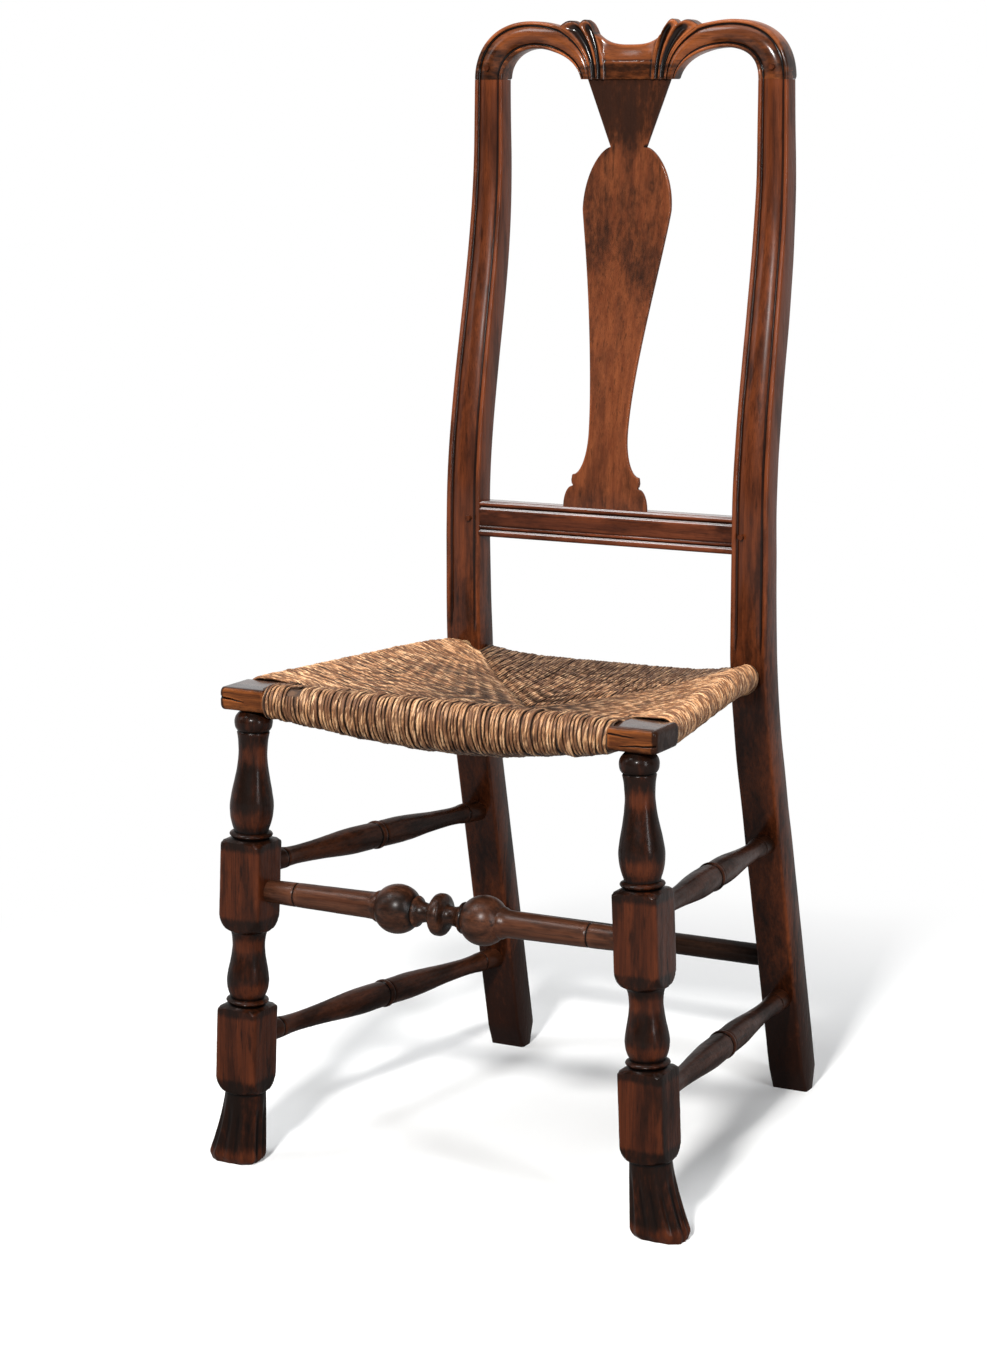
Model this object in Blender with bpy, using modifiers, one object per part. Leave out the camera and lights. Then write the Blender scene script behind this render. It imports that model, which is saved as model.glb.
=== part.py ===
"""Rush seat side chair.

Two S-curved stiles carry a carved yoke crest, a vase splat and a moulded stay rail. Turned front
legs with carved brush feet stand under the corner blocks of the front seat rail. Turned stretchers
tie the legs together, and rush cord is wound round four seat rails. The chair faces -Y, +Z is up,
and the origin lies on the floor below the middle of the chair. Left is -X and right is +X.
"""

from math import atan, cos, exp, pi, radians, sin, sqrt

import bmesh
import bpy
from mathutils import Matrix, Vector

# Gap that is left where two pieces touch, and how far a cutter reaches past the wood that it cuts.
FIT = 0.0003
CUT_PAST = 0.006

# Seat frame
SEAT_HEIGHT = 0.4475
SEAT_DEPTH = 0.3351
SEAT_FRONT_WIDTH = 0.430
BLOCK_LENGTH = 0.046
BLOCK_DEPTH = 0.047
BLOCK_THICKNESS = 0.021
BLOCK_ROUNDING = 0.0045
FRONT_RAIL_DEPTH = 0.031
FRONT_RAIL_THICKNESS = 0.019
FRONT_RAIL_ROUNDING = 0.008
SEAT_RAIL_RADIUS = 0.0085
SEAT_RAIL_END_RADIUS = 0.0065
SEAT_RAIL_TAPER = 0.025
SIDE_RAIL_INSET_FRONT = 0.0160
SIDE_RAIL_INSET_REAR = 0.0165
SIDE_RAIL_DROP_FRONT = 0.011
SIDE_RAIL_DROP_REAR = 0.0115
SIDE_RAIL_SOCKET_FRONT = 0.009
SIDE_RAIL_SOCKET_REAR = 0.018
REAR_RAIL_DROP = 0.031
REAR_RAIL_SETBACK = 0.0165
REAR_RAIL_SOCKET = 0.018

# Stiles: rear legs raked below the seat, uprights that lean back above it
STILE_INSIDE = 0.265
STILE_WIDTH_FOOT = 0.0365
STILE_WIDTH_SEAT = 0.0371
STILE_WIDTH_TOP = 0.0300
STILE_DEPTH_FOOT = 0.0350
STILE_DEPTH_SEAT = 0.0305
STILE_DEPTH_STAY = 0.0265
STILE_DEPTH_LEAN = 0.0298
STILE_DEPTH_TOP = 0.0225
STILE_FOOT_SPREAD = 0.0065
STILE_BACK_ROUNDING = 0.004
REAR_FOOT_SETBACK = 0.1038
RAKE_BEND = 0.150
RAKE_ABOVE_SEAT = 0.0425
BACK_LEAN = 0.047
LEAN_BELOW_STAY_TOP = 0.0055
LEAN_BELOW_CREST = 0.061
HEEL_HEIGHT = 0.022
HEEL_CHAMFER = 0.012
STILE_TOE_CHAMFER = 0.004
MOULDING_DEPTH = 0.0026
MOULDING_STOP = 0.030

# Crest rail, measured up from its joint with the stiles
BACK_HEIGHT = 1.0355
CREST_RISE = 0.0545
CREST_THICKNESS = 0.0225
CREST_MIDDLE_THICKNESS = 0.0145
CREST_APEX_INSET = 0.0280
CREST_BAND = 0.0258
CREST_BAND_FOOT = 0.0097
CREST_BAND_SHOULDER = 0.0380
CREST_BAND_SHOULDER_DROP = 0.0035
CREST_SADDLE_RISE = 0.0322
CREST_SADDLE_CURVE = 0.0042
CREST_TABLET_FOOT = 0.027
CREST_TABLET_TIP = 0.0350
CREST_TABLET_TIP_RISE = 0.0427
CREST_LEAF_FOOT = 0.0325
CREST_LEAF_TIP = 0.0515
CREST_LEAF_TIP_DROP = 0.0040
CREST_ARCH_FOOT = 0.0388
CREST_NOTCH = 0.0716
CREST_NOTCH_DROP = 0.0055
CREST_LEAF_DEPTH = 0.0034
CREST_INNER_LOBE = 0.0083
CREST_OUTER_LOBE = 0.0048
CREST_EDGE = 0.003
CREST_TENON_WIDTH = 0.016
CREST_TENON_THICKNESS = 0.009
CREST_TENON_HEIGHT = 0.020

# Stay rail
STAY_BOTTOM = 0.546
STAY_HEIGHT = 0.0345
STAY_THICKNESS = 0.018
STAY_SETBACK = 0.0006
STAY_TENON_LENGTH = 0.020
STAY_TENON_THICKNESS = 0.009
STAY_TENON_HEIGHT = 0.024

# Splat: half widths of its outline, and the heights of that outline's turns
SPLAT_THICKNESS = 0.008
SPLAT_SETBACK = 0.004
SPLAT_TONGUE = 0.008
SPLAT_TONGUE_THICKNESS = 0.005
SPLAT_TOP_HALF = 0.0428
SPLAT_NECK_HALF = 0.0186
SPLAT_VASE_HALF = 0.0459
SPLAT_WAIST_HALF = 0.0200
SPLAT_EAR_HALF = 0.0345
SPLAT_BASE_HALF = 0.0437
SPLAT_NECK_BELOW_CREST = 0.0627
SPLAT_VASE_BELOW_CREST = 0.120
SPLAT_WAIST_ABOVE_STAY = 0.070
SPLAT_EAR_ABOVE_STAY = 0.031
SPLAT_BASE_ROUND = 0.020

# Front legs: heights of the squared blocks, and radii of the turning between them
LEG_INSET = 0.0247
LEG_SETBACK = 0.0190
LEG_FOOT_OUT = 0.0175
LEG_SQUARE = 0.0415
LEG_TENON_RADIUS = 0.008
LEG_TENON_LENGTH = 0.013
LEG_UPPER_BLOCK_TOP = 0.3070
LEG_UPPER_BLOCK_BOTTOM = 0.2222
LEG_LOWER_BLOCK_TOP = 0.1508
LEG_LOWER_BLOCK_BOTTOM = 0.0690
LEG_SHOULDER = 0.0105
LEG_LOWER_SHOULDER = 0.0240
LEG_CAP_RADIUS = 0.0115
LEG_BEAD_RADIUS = 0.0172
LEG_BEAD_HEIGHT = 0.0210
LEG_NECK_RADIUS = 0.0130
LEG_VASE_RADIUS = 0.0199
LEG_VASE_FOOT_RADIUS = 0.0160
LEG_RING_RADIUS = 0.0195
LEG_RING_HEIGHT = 0.0070
LEG_LOWER_NECK_RADIUS = 0.0148
LEG_LOWER_VASE_RADIUS = 0.0194
LEG_ANKLE_RADIUS = 0.0186

# Brush feet: how far the toe flares outward, and the flutes carved round it
FOOT_FLARE = 0.0165
FOOT_TOE_HEIGHT = 0.009
FOOT_TOE_ROUNDING = 0.0045
FOOT_FLUTES = 8
FOOT_FLUTE_DEPTH = 0.0024

# Stretchers
FRONT_STRETCHER_HEIGHT = 0.2597
FRONT_STRETCHER_END_RADIUS = 0.0104
FRONT_STRETCHER_ARM_RADIUS = 0.0120
FRONT_STRETCHER_BALL_RADIUS = 0.0223
FRONT_STRETCHER_BALL_OFFSET = 0.0430
FRONT_STRETCHER_RING_RADIUS = 0.0190
FRONT_STRETCHER_RING_WIDTH = 0.0125
FRONT_STRETCHER_NECK_RADIUS = 0.0085
SIDE_STRETCHER_END_RADIUS = 0.0105
SIDE_STRETCHER_WAIST_RADIUS = 0.0086
SIDE_STRETCHER_SWELL_RADIUS = 0.0128
SIDE_STRETCHER_RING_RADIUS = 0.0136
SIDE_STRETCHER_RING_WIDTH = 0.0075
UPPER_STRETCHER_FRONT = 0.2812
UPPER_STRETCHER_REAR = 0.2627
LOWER_STRETCHER_FRONT = 0.1185
LOWER_STRETCHER_REAR = 0.1000
REAR_STRETCHER_HEIGHT = 0.140
REAR_STRETCHER_RADIUS = 0.0105
STRETCHER_SOCKET = 0.016

# Pegs through the mortise and tenon joints
PEG_RADIUS = 0.0026
PEG_LENGTH = 0.0185

# Rush seat
RUSH_PROUD = 0.002
RUSH_ROLL_SIDE = 0.0148
RUSH_ROLL_FRONT = 0.0145
RUSH_ROLL_REAR = 0.0152
RUSH_FRONT_RISE = 0.0010
RUSH_FRONT_BELLY = 0.0046
RUSH_DISH = 0.030
RUSH_MIDDLE_THICKNESS = 0.026
RUSH_GULLY = 0.0035
STILE_SPACE_BELOW = 0.090
STILE_SPACE_ABOVE = 0.030

# Smoothness of round shapes
TURNED_SIDES = 14
HOLE_SIDES = 14
CURVE_STEPS = 8
LEG_QUARTER_TURNS = (0, 19, 37, 45, 53, 71)
LEG_TURNS = [radians(quarter + turn) for quarter in (0, 90, 180, 270) for turn in LEG_QUARTER_TURNS]

WOOD_COLOR = (0.105, 0.031, 0.013, 1.0)
WOOD_DARK_COLOR = (0.062, 0.020, 0.010, 1.0)
PEG_COLOR = (0.045, 0.016, 0.009, 1.0)
RUSH_COLOR = (0.330, 0.190, 0.075, 1.0)
HIDDEN_WOOD_COLOR = (0.300, 0.180, 0.090, 1.0)


RAKE_TOP = SEAT_HEIGHT + RAKE_ABOVE_SEAT
REAR_RAKE = REAR_FOOT_SETBACK / (RAKE_TOP - RAKE_BEND / 2)


def rake_offset(z):
    """How far back the raked part of a stile lies at height z: a bend, and below it a straight slope."""
    drop = max(0.0, RAKE_TOP - z)
    bend = min(drop, RAKE_BEND)
    return REAR_RAKE * (bend * bend / (2 * RAKE_BEND) + drop - bend)


# Places worked out from the sizes above
CREST_JOINT = BACK_HEIGHT - CREST_RISE
STAY_TOP = STAY_BOTTOM + STAY_HEIGHT
LEG_TOP = SEAT_HEIGHT - BLOCK_THICKNESS
LEG_SPLAY = LEG_FOOT_OUT / LEG_TOP
LEG_SEAT = LEG_TOP - FIT - LEG_CAP_RADIUS * LEG_SPLAY
HEEL_REACH = rake_offset(HEEL_HEIGHT) + STILE_DEPTH_FOOT
FRONT_Y = (RUSH_PROUD - SEAT_DEPTH - HEEL_REACH) / 2
STILE_Y = FRONT_Y + SEAT_DEPTH
STILE_INNER = STILE_INSIDE / 2
CREST_ARCH_APEX = STILE_INNER - CREST_APEX_INSET
BLOCK_MIDDLE_Y = FRONT_Y + BLOCK_DEPTH / 2
LEG_Y = FRONT_Y + LEG_SETBACK
BLOCK_MIDDLE_Z = SEAT_HEIGHT - BLOCK_THICKNESS / 2
LEG_X = SEAT_FRONT_WIDTH / 2 - LEG_INSET
SIDES = (("left", -1), ("right", 1))


def smoothstep(t):
    t = min(1.0, max(0.0, t))
    return t * t * (3 - 2 * t)


def blend(a, b, t):
    return a + (b - a) * t


def through(points, x):
    """Smooth curve through (x, value) points, flat at turning points so that it never overshoots."""
    if x <= points[0][0]:
        return points[0][1]
    for i in range(len(points) - 1):
        (x0, v0), (x1, v1) = points[i], points[i + 1]
        if x <= x1:
            slopes = [point_slope(points, k) * (x1 - x0) for k in (i, i + 1)]
            t = (x - x0) / (x1 - x0)
            start = v0 * (1 + 2 * t) * (1 - t) ** 2 + slopes[0] * t * (1 - t) ** 2
            return start + v1 * t * t * (3 - 2 * t) - slopes[1] * t * t * (1 - t)
    return points[-1][1]


def point_slope(points, k):
    """Slope at point k: the harmonic mean of its neighbours, or none at an end or a turning point."""
    if k in (0, len(points) - 1):
        return 0.0
    before = (points[k][1] - points[k - 1][1]) / (points[k][0] - points[k - 1][0])
    after = (points[k + 1][1] - points[k][1]) / (points[k + 1][0] - points[k][0])
    return 2 * before * after / (before + after) if before * after > 0 else 0.0


def bezier(p0, p1, p2, p3, steps):
    """Points of a cubic curve in the XZ plane, both ends included."""
    out = []
    for i in range(steps + 1):
        t = i / steps
        w = ((1 - t) ** 3, 3 * t * (1 - t) ** 2, 3 * t * t * (1 - t), t ** 3)
        out.append(tuple(sum(k * p[axis] for k, p in zip(w, (p0, p1, p2, p3))) for axis in (0, 1)))
    return out


def clear_scene():
    for thing in list(bpy.data.objects):
        bpy.data.objects.remove(thing, do_unlink=True)


def new_collection(name):
    group = bpy.data.collections.new(name)
    bpy.context.scene.collection.children.link(group)
    return group


def finish(name, color, roughness):
    """A plain Principled material in one colour."""
    material = bpy.data.materials.new(name)
    material.use_nodes = True
    shader = material.node_tree.nodes["Principled BSDF"]
    shader.inputs["Base Color"].default_value = color
    shader.inputs["Roughness"].default_value = roughness
    shader.inputs["Metallic"].default_value = 0.0
    material.diffuse_color = color
    return material


def mesh_from(name, vertices, faces):
    """A mesh with doubles merged and every face pointing outward."""
    mesh = bpy.data.meshes.new(name)
    mesh.from_pydata(vertices, [], faces)
    shape = bmesh.new()
    shape.from_mesh(mesh)
    bmesh.ops.remove_doubles(shape, verts=shape.verts, dist=1e-6)
    bmesh.ops.recalc_face_normals(shape, faces=shape.faces)
    shape.to_mesh(mesh)
    shape.free()
    return mesh


def loft(name, rings):
    """A closed body through rings of equally many points, with flat ends."""
    count = len(rings[0])
    vertices = [tuple(point) for ring in rings for point in ring]
    faces = [tuple(range(count)), tuple(range(len(vertices) - count, len(vertices)))]
    for r in range(len(rings) - 1):
        for i in range(count):
            j = (i + 1) % count
            faces.append((r * count + i, r * count + j, (r + 1) * count + j, (r + 1) * count + i))
    return mesh_from(name, vertices, faces)


def place(name, mesh, material):
    """Puts a mesh into the chair as one named piece, shaded smooth but for its hard edges."""
    piece = bpy.data.objects.new(name, mesh)
    chair.objects.link(piece)
    mesh.materials.append(material)
    mesh.shade_smooth()
    mesh.set_sharp_from_angle(angle=pi / 5)
    return piece


def cutter(name, mesh):
    tool = bpy.data.objects.new(name, mesh)
    cutters.objects.link(tool)
    tool.hide_render = True
    tool.display_type = "WIRE"
    return tool


def box_cutter(name, low, high):
    shape = bmesh.new()
    bmesh.ops.create_cube(shape, size=1.0)
    size = [b - a for a, b in zip(low, high)]
    middle = [(a + b) / 2 for a, b in zip(low, high)]
    stretch = Matrix.Translation(middle) @ Matrix.Diagonal((*size, 1))
    bmesh.ops.transform(shape, matrix=stretch, verts=shape.verts)
    mesh = bpy.data.meshes.new(name)
    shape.to_mesh(mesh)
    shape.free()
    return cutter(name, mesh)


def along(start, end):
    """Placement whose origin is at start and whose Z axis points to end."""
    direction = Vector(end) - Vector(start)
    return Matrix.Translation(start) @ direction.to_track_quat("Z", "Y").to_matrix().to_4x4()


def round_rod(name, radius, length, sides):
    """A cylinder mesh that stands on its origin."""
    shape = bmesh.new()
    bmesh.ops.create_cone(shape, cap_ends=True, segments=sides, radius1=radius, radius2=radius, depth=length)
    bmesh.ops.translate(shape, vec=(0, 0, length / 2), verts=shape.verts)
    mesh = bpy.data.meshes.new(name)
    shape.to_mesh(mesh)
    shape.free()
    return mesh


def hole_cutter(name, start, end, radius):
    """A cutter for a round hole that a rod of this radius fits with the usual gap."""
    clear = (radius + FIT) / cos(pi / HOLE_SIDES)
    length = (Vector(end) - Vector(start)).length
    tool = cutter(name, round_rod(name, clear, length, HOLE_SIDES))
    tool.matrix_world = along(start, end)
    return tool


def cut(piece, tool, solver="EXACT"):
    step = piece.modifiers.new(tool.name, "BOOLEAN")
    step.operation = "DIFFERENCE"
    step.solver = solver
    step.object = tool


def turned(name, profile, start, end, material):
    """A piece turned on a lathe, from (distance from start, radius) pairs along start to end."""
    length = (Vector(end) - Vector(start)).length
    outline = [(0.0, 0.0, length)]
    outline += [(radius, 0.0, length - distance) for distance, radius in profile]
    outline += [(0.0, 0.0, 0.0)]
    mesh = bpy.data.meshes.new(name)
    mesh.from_pydata(outline, [(i, i + 1) for i in range(len(outline) - 1)], [])
    piece = place(name, mesh, material)
    lathe = piece.modifiers.new("lathe", "SCREW")
    lathe.axis = "Z"
    lathe.steps = TURNED_SIDES
    lathe.render_steps = TURNED_SIDES
    lathe.use_merge_vertices = True
    lathe.merge_threshold = 0.00001
    piece.matrix_world = along(end, start)
    return piece


# Shared places on the stiles and the front legs

def stile_front(z):
    """Y of a stile's front face at height z."""
    start = STAY_TOP - LEAN_BELOW_STAY_TOP
    stop = CREST_JOINT - LEAN_BELOW_CREST
    return STILE_Y + rake_offset(z) + BACK_LEAN * smoothstep((z - start) / (stop - start))


def stile_depth(z):
    lean_middle = (STAY_TOP + CREST_JOINT) / 2
    stay_middle = STAY_BOTTOM + STAY_HEIGHT / 2
    levels = [(0.0, STILE_DEPTH_FOOT), (SEAT_HEIGHT, STILE_DEPTH_SEAT), (stay_middle, STILE_DEPTH_STAY),
              (lean_middle, STILE_DEPTH_LEAN), (CREST_JOINT, STILE_DEPTH_TOP)]
    return through(levels, z)


def stile_inner(z):
    """X of the inner face: upright above the seat, spreading to the foot below it."""
    return STILE_INNER + STILE_FOOT_SPREAD * max(0.0, 1 - z / SEAT_HEIGHT)


def stile_width(z):
    if z < STAY_BOTTOM:
        return blend(STILE_WIDTH_FOOT, STILE_WIDTH_SEAT, min(1.0, z / SEAT_HEIGHT))
    return blend(STILE_WIDTH_SEAT, STILE_WIDTH_TOP, (z - STAY_BOTTOM) / (CREST_JOINT - STAY_BOTTOM))


def stile_middle(side, z):
    x = side * (stile_inner(z) + stile_width(z) / 2)
    return Vector((x, stile_front(z) + stile_depth(z) / 2, z))


def leg_axis(side, z):
    return Vector((side * (LEG_X + LEG_SPLAY * (LEG_TOP - z)), LEG_Y, z))


def moulding():
    """The moulding of stiles and crest: bead, groove, broad swell, groove, bead.
    Pairs of place across the face, from 0 to 1, and depth below the face."""
    half = [(0.0, 0.75), (0.07, 0.0), (0.165, 1.0), (0.27, 0.35)]
    other = [(1 - u, d) for u, d in reversed(half)]
    return [(u, d * MOULDING_DEPTH) for u, d in half + [(0.5, 0.1)] + other]


# Stiles

def stile_ring(side, z, grow=0.0):
    """One level section of a stile: moulded front, rounded back."""
    inner = stile_inner(z) - grow
    outer = inner + stile_width(z) + 2 * grow
    front = stile_front(z) - grow
    back = front + stile_depth(z) + 2 * grow
    if z < HEEL_HEIGHT:
        back -= HEEL_CHAMFER * (1 - z / HEEL_HEIGHT)
        front += STILE_TOE_CHAMFER * (1 - z / HEEL_HEIGHT)
    fade = 0.0 if grow else smoothstep((z - SEAT_HEIGHT) / MOULDING_STOP)
    ring = [(inner + u * (outer - inner), front + d * fade) for u, d in moulding()]
    ease = STILE_BACK_ROUNDING
    ring += [(outer, back - ease), (outer - ease, back), (inner + ease, back), (inner, back - ease)]
    return [(side * x, y, z) for x, y in ring]


def stile_levels():
    """Heights of the stile's sections, closer together where it bends."""
    low = [0.0, HEEL_HEIGHT, (HEEL_HEIGHT + SEAT_HEIGHT) / 3]
    bend_foot = RAKE_TOP - RAKE_BEND
    low += [blend(bend_foot, SEAT_HEIGHT, i / 4) for i in range(5)]
    low += [SEAT_HEIGHT + MOULDING_STOP * i / 3 for i in (1, 2, 3)]
    lean = STAY_TOP - LEAN_BELOW_STAY_TOP
    return low + [STAY_BOTTOM] + [blend(lean, CREST_JOINT, i / 12) for i in range(13)]


def crest_tenon(side, grow=0.0):
    """Low and high corners of the tenon on top of a stile, which the crest fits over."""
    middle = stile_middle(side, CREST_JOINT)
    half_x = CREST_TENON_WIDTH / 2 + grow
    half_y = CREST_TENON_THICKNESS / 2 + grow
    low = (middle.x - half_x, middle.y - half_y, CREST_JOINT - (CUT_PAST if grow else 0.0))
    return low, (middle.x + half_x, middle.y + half_y, CREST_JOINT + CREST_TENON_HEIGHT + grow)


def make_stile(word, side):
    rings = [stile_ring(side, z) for z in stile_levels()]
    low, high = crest_tenon(side)
    for z in (low[2], high[2]):
        rings.append([(min(high[0], max(low[0], x)), min(high[1], max(low[1], y)), z)
                      for x, y, _ in rings[-1]])
    return place(f"{word}_stile", loft(f"{word}_stile", rings), wood)


# Crest rail

def rising(foot, tip, steps):
    """A fan curve: it leaves its foot straight up and leans outward to its tip."""
    return bezier(foot, (foot[0], blend(foot[1], tip[1], 0.45)),
                  (blend(foot[0], tip[0], 0.42), blend(foot[1], tip[1], 0.78)), tip, steps)


def crest_curves():
    """Curves of the right half, as (distance from the middle, height above the joint) points.
    The fan curves run from the foot of the crest up to its edge. The band curves run on over the arch."""
    few = CURVE_STEPS // 2
    apex = CREST_ARCH_APEX
    end = STILE_INNER + STILE_WIDTH_TOP
    notch = (CREST_NOTCH, CREST_RISE - CREST_NOTCH_DROP)
    centre = rising((0, FIT), (0, CREST_SADDLE_RISE), CURVE_STEPS)
    tablet = rising((CREST_TABLET_FOOT, FIT), (CREST_TABLET_TIP, CREST_TABLET_TIP_RISE), CURVE_STEPS)
    leaf = rising((CREST_LEAF_FOOT, FIT), (CREST_LEAF_TIP, CREST_RISE - CREST_LEAF_TIP_DROP), CURVE_STEPS)
    outer = rising((CREST_ARCH_FOOT, FIT), notch, CURVE_STEPS)
    outer += bezier(notch, (blend(notch[0], apex, 0.32), blend(notch[1], CREST_RISE, 0.64)),
                    (blend(notch[0], apex, 0.70), CREST_RISE), (apex, CREST_RISE), few)[1:]
    outer += bezier((apex, CREST_RISE), (blend(apex, end, 0.62), CREST_RISE),
                    (end, CREST_RISE * 0.63), (end, FIT), CURVE_STEPS)[1:]
    under = CREST_RISE - CREST_BAND
    foot = (CREST_ARCH_FOOT + CREST_BAND_FOOT, FIT)
    shoulder = (CREST_ARCH_FOOT + CREST_BAND_SHOULDER, under - CREST_BAND_SHOULDER_DROP)
    crown = (blend(shoulder[0], apex, 0.79), under)
    inner = bezier(foot, (blend(foot[0], shoulder[0], 0.11), blend(FIT, shoulder[1], 0.47)),
                   (blend(foot[0], shoulder[0], 0.45), blend(FIT, shoulder[1], 0.81)), shoulder, CURVE_STEPS)
    inner += bezier(shoulder, (blend(shoulder[0], crown[0], 0.30), blend(shoulder[1], under, 0.66)),
                    (blend(shoulder[0], crown[0], 0.68), under), crown, few)[1:]
    inner += bezier(crown, (blend(crown[0], STILE_INNER, 0.55), under), (STILE_INNER, under * 0.62),
                    (STILE_INNER, FIT), CURVE_STEPS)[1:]
    return centre, tablet, leaf, outer, inner


def crest_strip(low, high, columns, bulge, hollow):
    """Grid of (x, height, depth) between two fan curves, hollowed between them, with a bulging top."""
    rows = []
    for i, (a, b) in enumerate(zip(low, high)):
        s = i / (len(low) - 1)
        row = []
        for k in range(columns + 1):
            f = k / columns
            arch = 4 * f * (1 - f)
            x = blend(a[0], b[0], f)
            z = blend(a[1], b[1], f) + bulge * arch * s ** 3
            row.append((x, z, hollow * arch * (0.35 + 0.65 * s)))
        rows.append(row)
    return rows


def crest_band(outer, inner):
    """Grid of the moulded band that runs from the foot of the leaves over the arch to the stile."""
    width = STILE_WIDTH_TOP
    rows = []
    for a, b in zip(outer, inner):
        narrow = min(1.0, sqrt((a[0] - b[0]) ** 2 + (a[1] - b[1]) ** 2) / width)
        rows.append([(blend(a[0], b[0], u), blend(a[1], b[1], u), d * narrow)
                     for u, d in moulding()])
    return rows


def crest_thickness(x):
    """The crest is as thick as the stiles at its ends and thinner over the splat."""
    out = (abs(x) - CREST_ARCH_FOOT) / (CREST_ARCH_APEX - CREST_ARCH_FOOT)
    return blend(CREST_MIDDLE_THICKNESS, CREST_THICKNESS, smoothstep(out))


def slab(name, grids, front, thickness, edge):
    """A carved half slab: grids of (x, height, depth) give its front, and its smooth back has eased edges.
    It stays open on the plane x = 0."""
    index = {}
    points = []
    faces = []
    for rows in grids:
        for low, high in zip(rows, rows[1:]):
            for k in range(len(low) - 1):
                corner = []
                for point in (low[k], low[k + 1], high[k + 1], high[k]):
                    key = (round(point[0], 6), round(point[1], 6))
                    if key not in index:
                        index[key] = len(points)
                        points.append(point)
                    corner.append(index[key])
                faces.append(corner)
    uses = {}
    for face in faces:
        for i, j in zip(face, face[1:] + face[:1]):
            uses.setdefault(frozenset((i, j)), []).append((i, j))
    rim = [pair[0] for pair in uses.values() if len(pair) == 1]
    rim = [(i, j) for i, j in rim if max(points[i][0], points[j][0]) > 1e-6]
    on_rim = {i for pair in rim for i in pair}
    count = len(points)
    vertices = [(x, front + depth, CREST_JOINT + z) for x, z, depth in points]
    vertices += [(x, front + thickness(x) - (edge if i in on_rim else 0.0), CREST_JOINT + z)
                 for i, (x, z, _) in enumerate(points)]
    walls = [(j, i, i + count, j + count) for i, j in rim]
    backs = [tuple(i + count for i in reversed(face)) for face in faces]
    return mesh_from(name, vertices, [tuple(face) for face in faces] + backs + walls)


def make_crest():
    centre, tablet, leaf, outer, inner = crest_curves()
    fan = len(centre)
    grids = [crest_strip(centre, tablet, 3, -CREST_SADDLE_CURVE, CREST_LEAF_DEPTH / 3),
             crest_strip(tablet, leaf, 4, CREST_INNER_LOBE, CREST_LEAF_DEPTH),
             crest_strip(leaf, outer[:fan], 4, CREST_OUTER_LOBE, CREST_LEAF_DEPTH),
             crest_band(outer, inner)]
    front = stile_front(CREST_JOINT)
    mesh = slab("crest_rail", grids, front, crest_thickness, CREST_EDGE)
    crest = place("crest_rail", mesh, wood)
    mirror = crest.modifiers.new("other half", "MIRROR")
    mirror.use_axis = (True, False, False)
    mirror.merge_threshold = 0.00001
    for word, side in SIDES:
        low, high = crest_tenon(side, FIT)
        cut(crest, box_cutter(f"{word}_crest_mortise", low, high))
    slot_end = CREST_JOINT + SPLAT_TONGUE + FIT
    cut(crest, splat_slot("splat_top_slot", CREST_JOINT - CUT_PAST, slot_end, CREST_JOINT))
    return crest


# Splat and stay rail

def splat_front(z):
    return stile_front(z) + SPLAT_SETBACK


def splat_slot(name, bottom, top, level):
    """Cutter for a slot that takes the splat's tongue at one end."""
    half = tongue_half(level) + FIT
    middle = splat_front(level) + SPLAT_THICKNESS / 2
    deep = SPLAT_TONGUE_THICKNESS / 2 + FIT
    return box_cutter(name, (-half, middle - deep, bottom), (half, middle + deep, top))


def tongue_half(level):
    """Half width of the splat's tongue: a shoulder narrower than the splat at that end."""
    return (SPLAT_TOP_HALF if level == CREST_JOINT else SPLAT_BASE_HALF) - SPLAT_TONGUE_THICKNESS


def splat_outline():
    """Half width of the splat by height: base lobes, ears, waist, vase, neck and flared top."""
    ear = STAY_TOP + SPLAT_EAR_ABOVE_STAY
    notch = STAY_TOP + SPLAT_BASE_ROUND
    waist = STAY_TOP + SPLAT_WAIST_ABOVE_STAY
    vase = CREST_JOINT - SPLAT_VASE_BELOW_CREST
    neck = CREST_JOINT - SPLAT_NECK_BELOW_CREST
    rows = []
    for i in range(5):
        turn = i / 4 * pi / 2
        round_off = SPLAT_BASE_HALF - SPLAT_EAR_HALF
        rows.append((blend(STAY_TOP + FIT, notch, sin(turn)), SPLAT_EAR_HALF + round_off * cos(turn)))
    rows.append((blend(notch, ear, 0.5), SPLAT_EAR_HALF + 0.0008))
    for i in range(6):
        turn = i / 5 * pi / 2
        rows.append((blend(ear, waist, 1 - cos(turn)), blend(SPLAT_EAR_HALF, SPLAT_WAIST_HALF, sin(turn))))
    body = bezier((SPLAT_WAIST_HALF, waist), (SPLAT_WAIST_HALF, blend(waist, vase, 0.33)),
                  (SPLAT_VASE_HALF, blend(waist, vase, 0.95)), (SPLAT_VASE_HALF, vase), CURVE_STEPS)
    rows += [(z, half) for half, z in body[1:]]
    for i in range(1, 7):
        turn = i / 6 * pi / 2
        rows.append((blend(vase, neck, sin(turn)), blend(SPLAT_NECK_HALF, SPLAT_VASE_HALF, cos(turn) ** 1.3)))
    rows.append((CREST_JOINT, SPLAT_TOP_HALF))
    return rows


def splat_ring(z, half):
    front = splat_front(z)
    back = front + SPLAT_THICKNESS
    edge = SPLAT_THICKNESS * 0.4
    return [(-half, front, z), (half, front, z), (half, front + edge, z), (half - edge, back, z),
            (-half + edge, back, z), (-half, front + edge, z)]


def tongue_ring(level, z):
    half = tongue_half(level)
    middle = splat_front(level) + SPLAT_THICKNESS / 2
    deep = SPLAT_TONGUE_THICKNESS / 2
    return [(-half, middle - deep, z), (half, middle - deep, z), (half, middle, z), (half, middle + deep, z),
            (-half, middle + deep, z), (-half, middle, z)]


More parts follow.
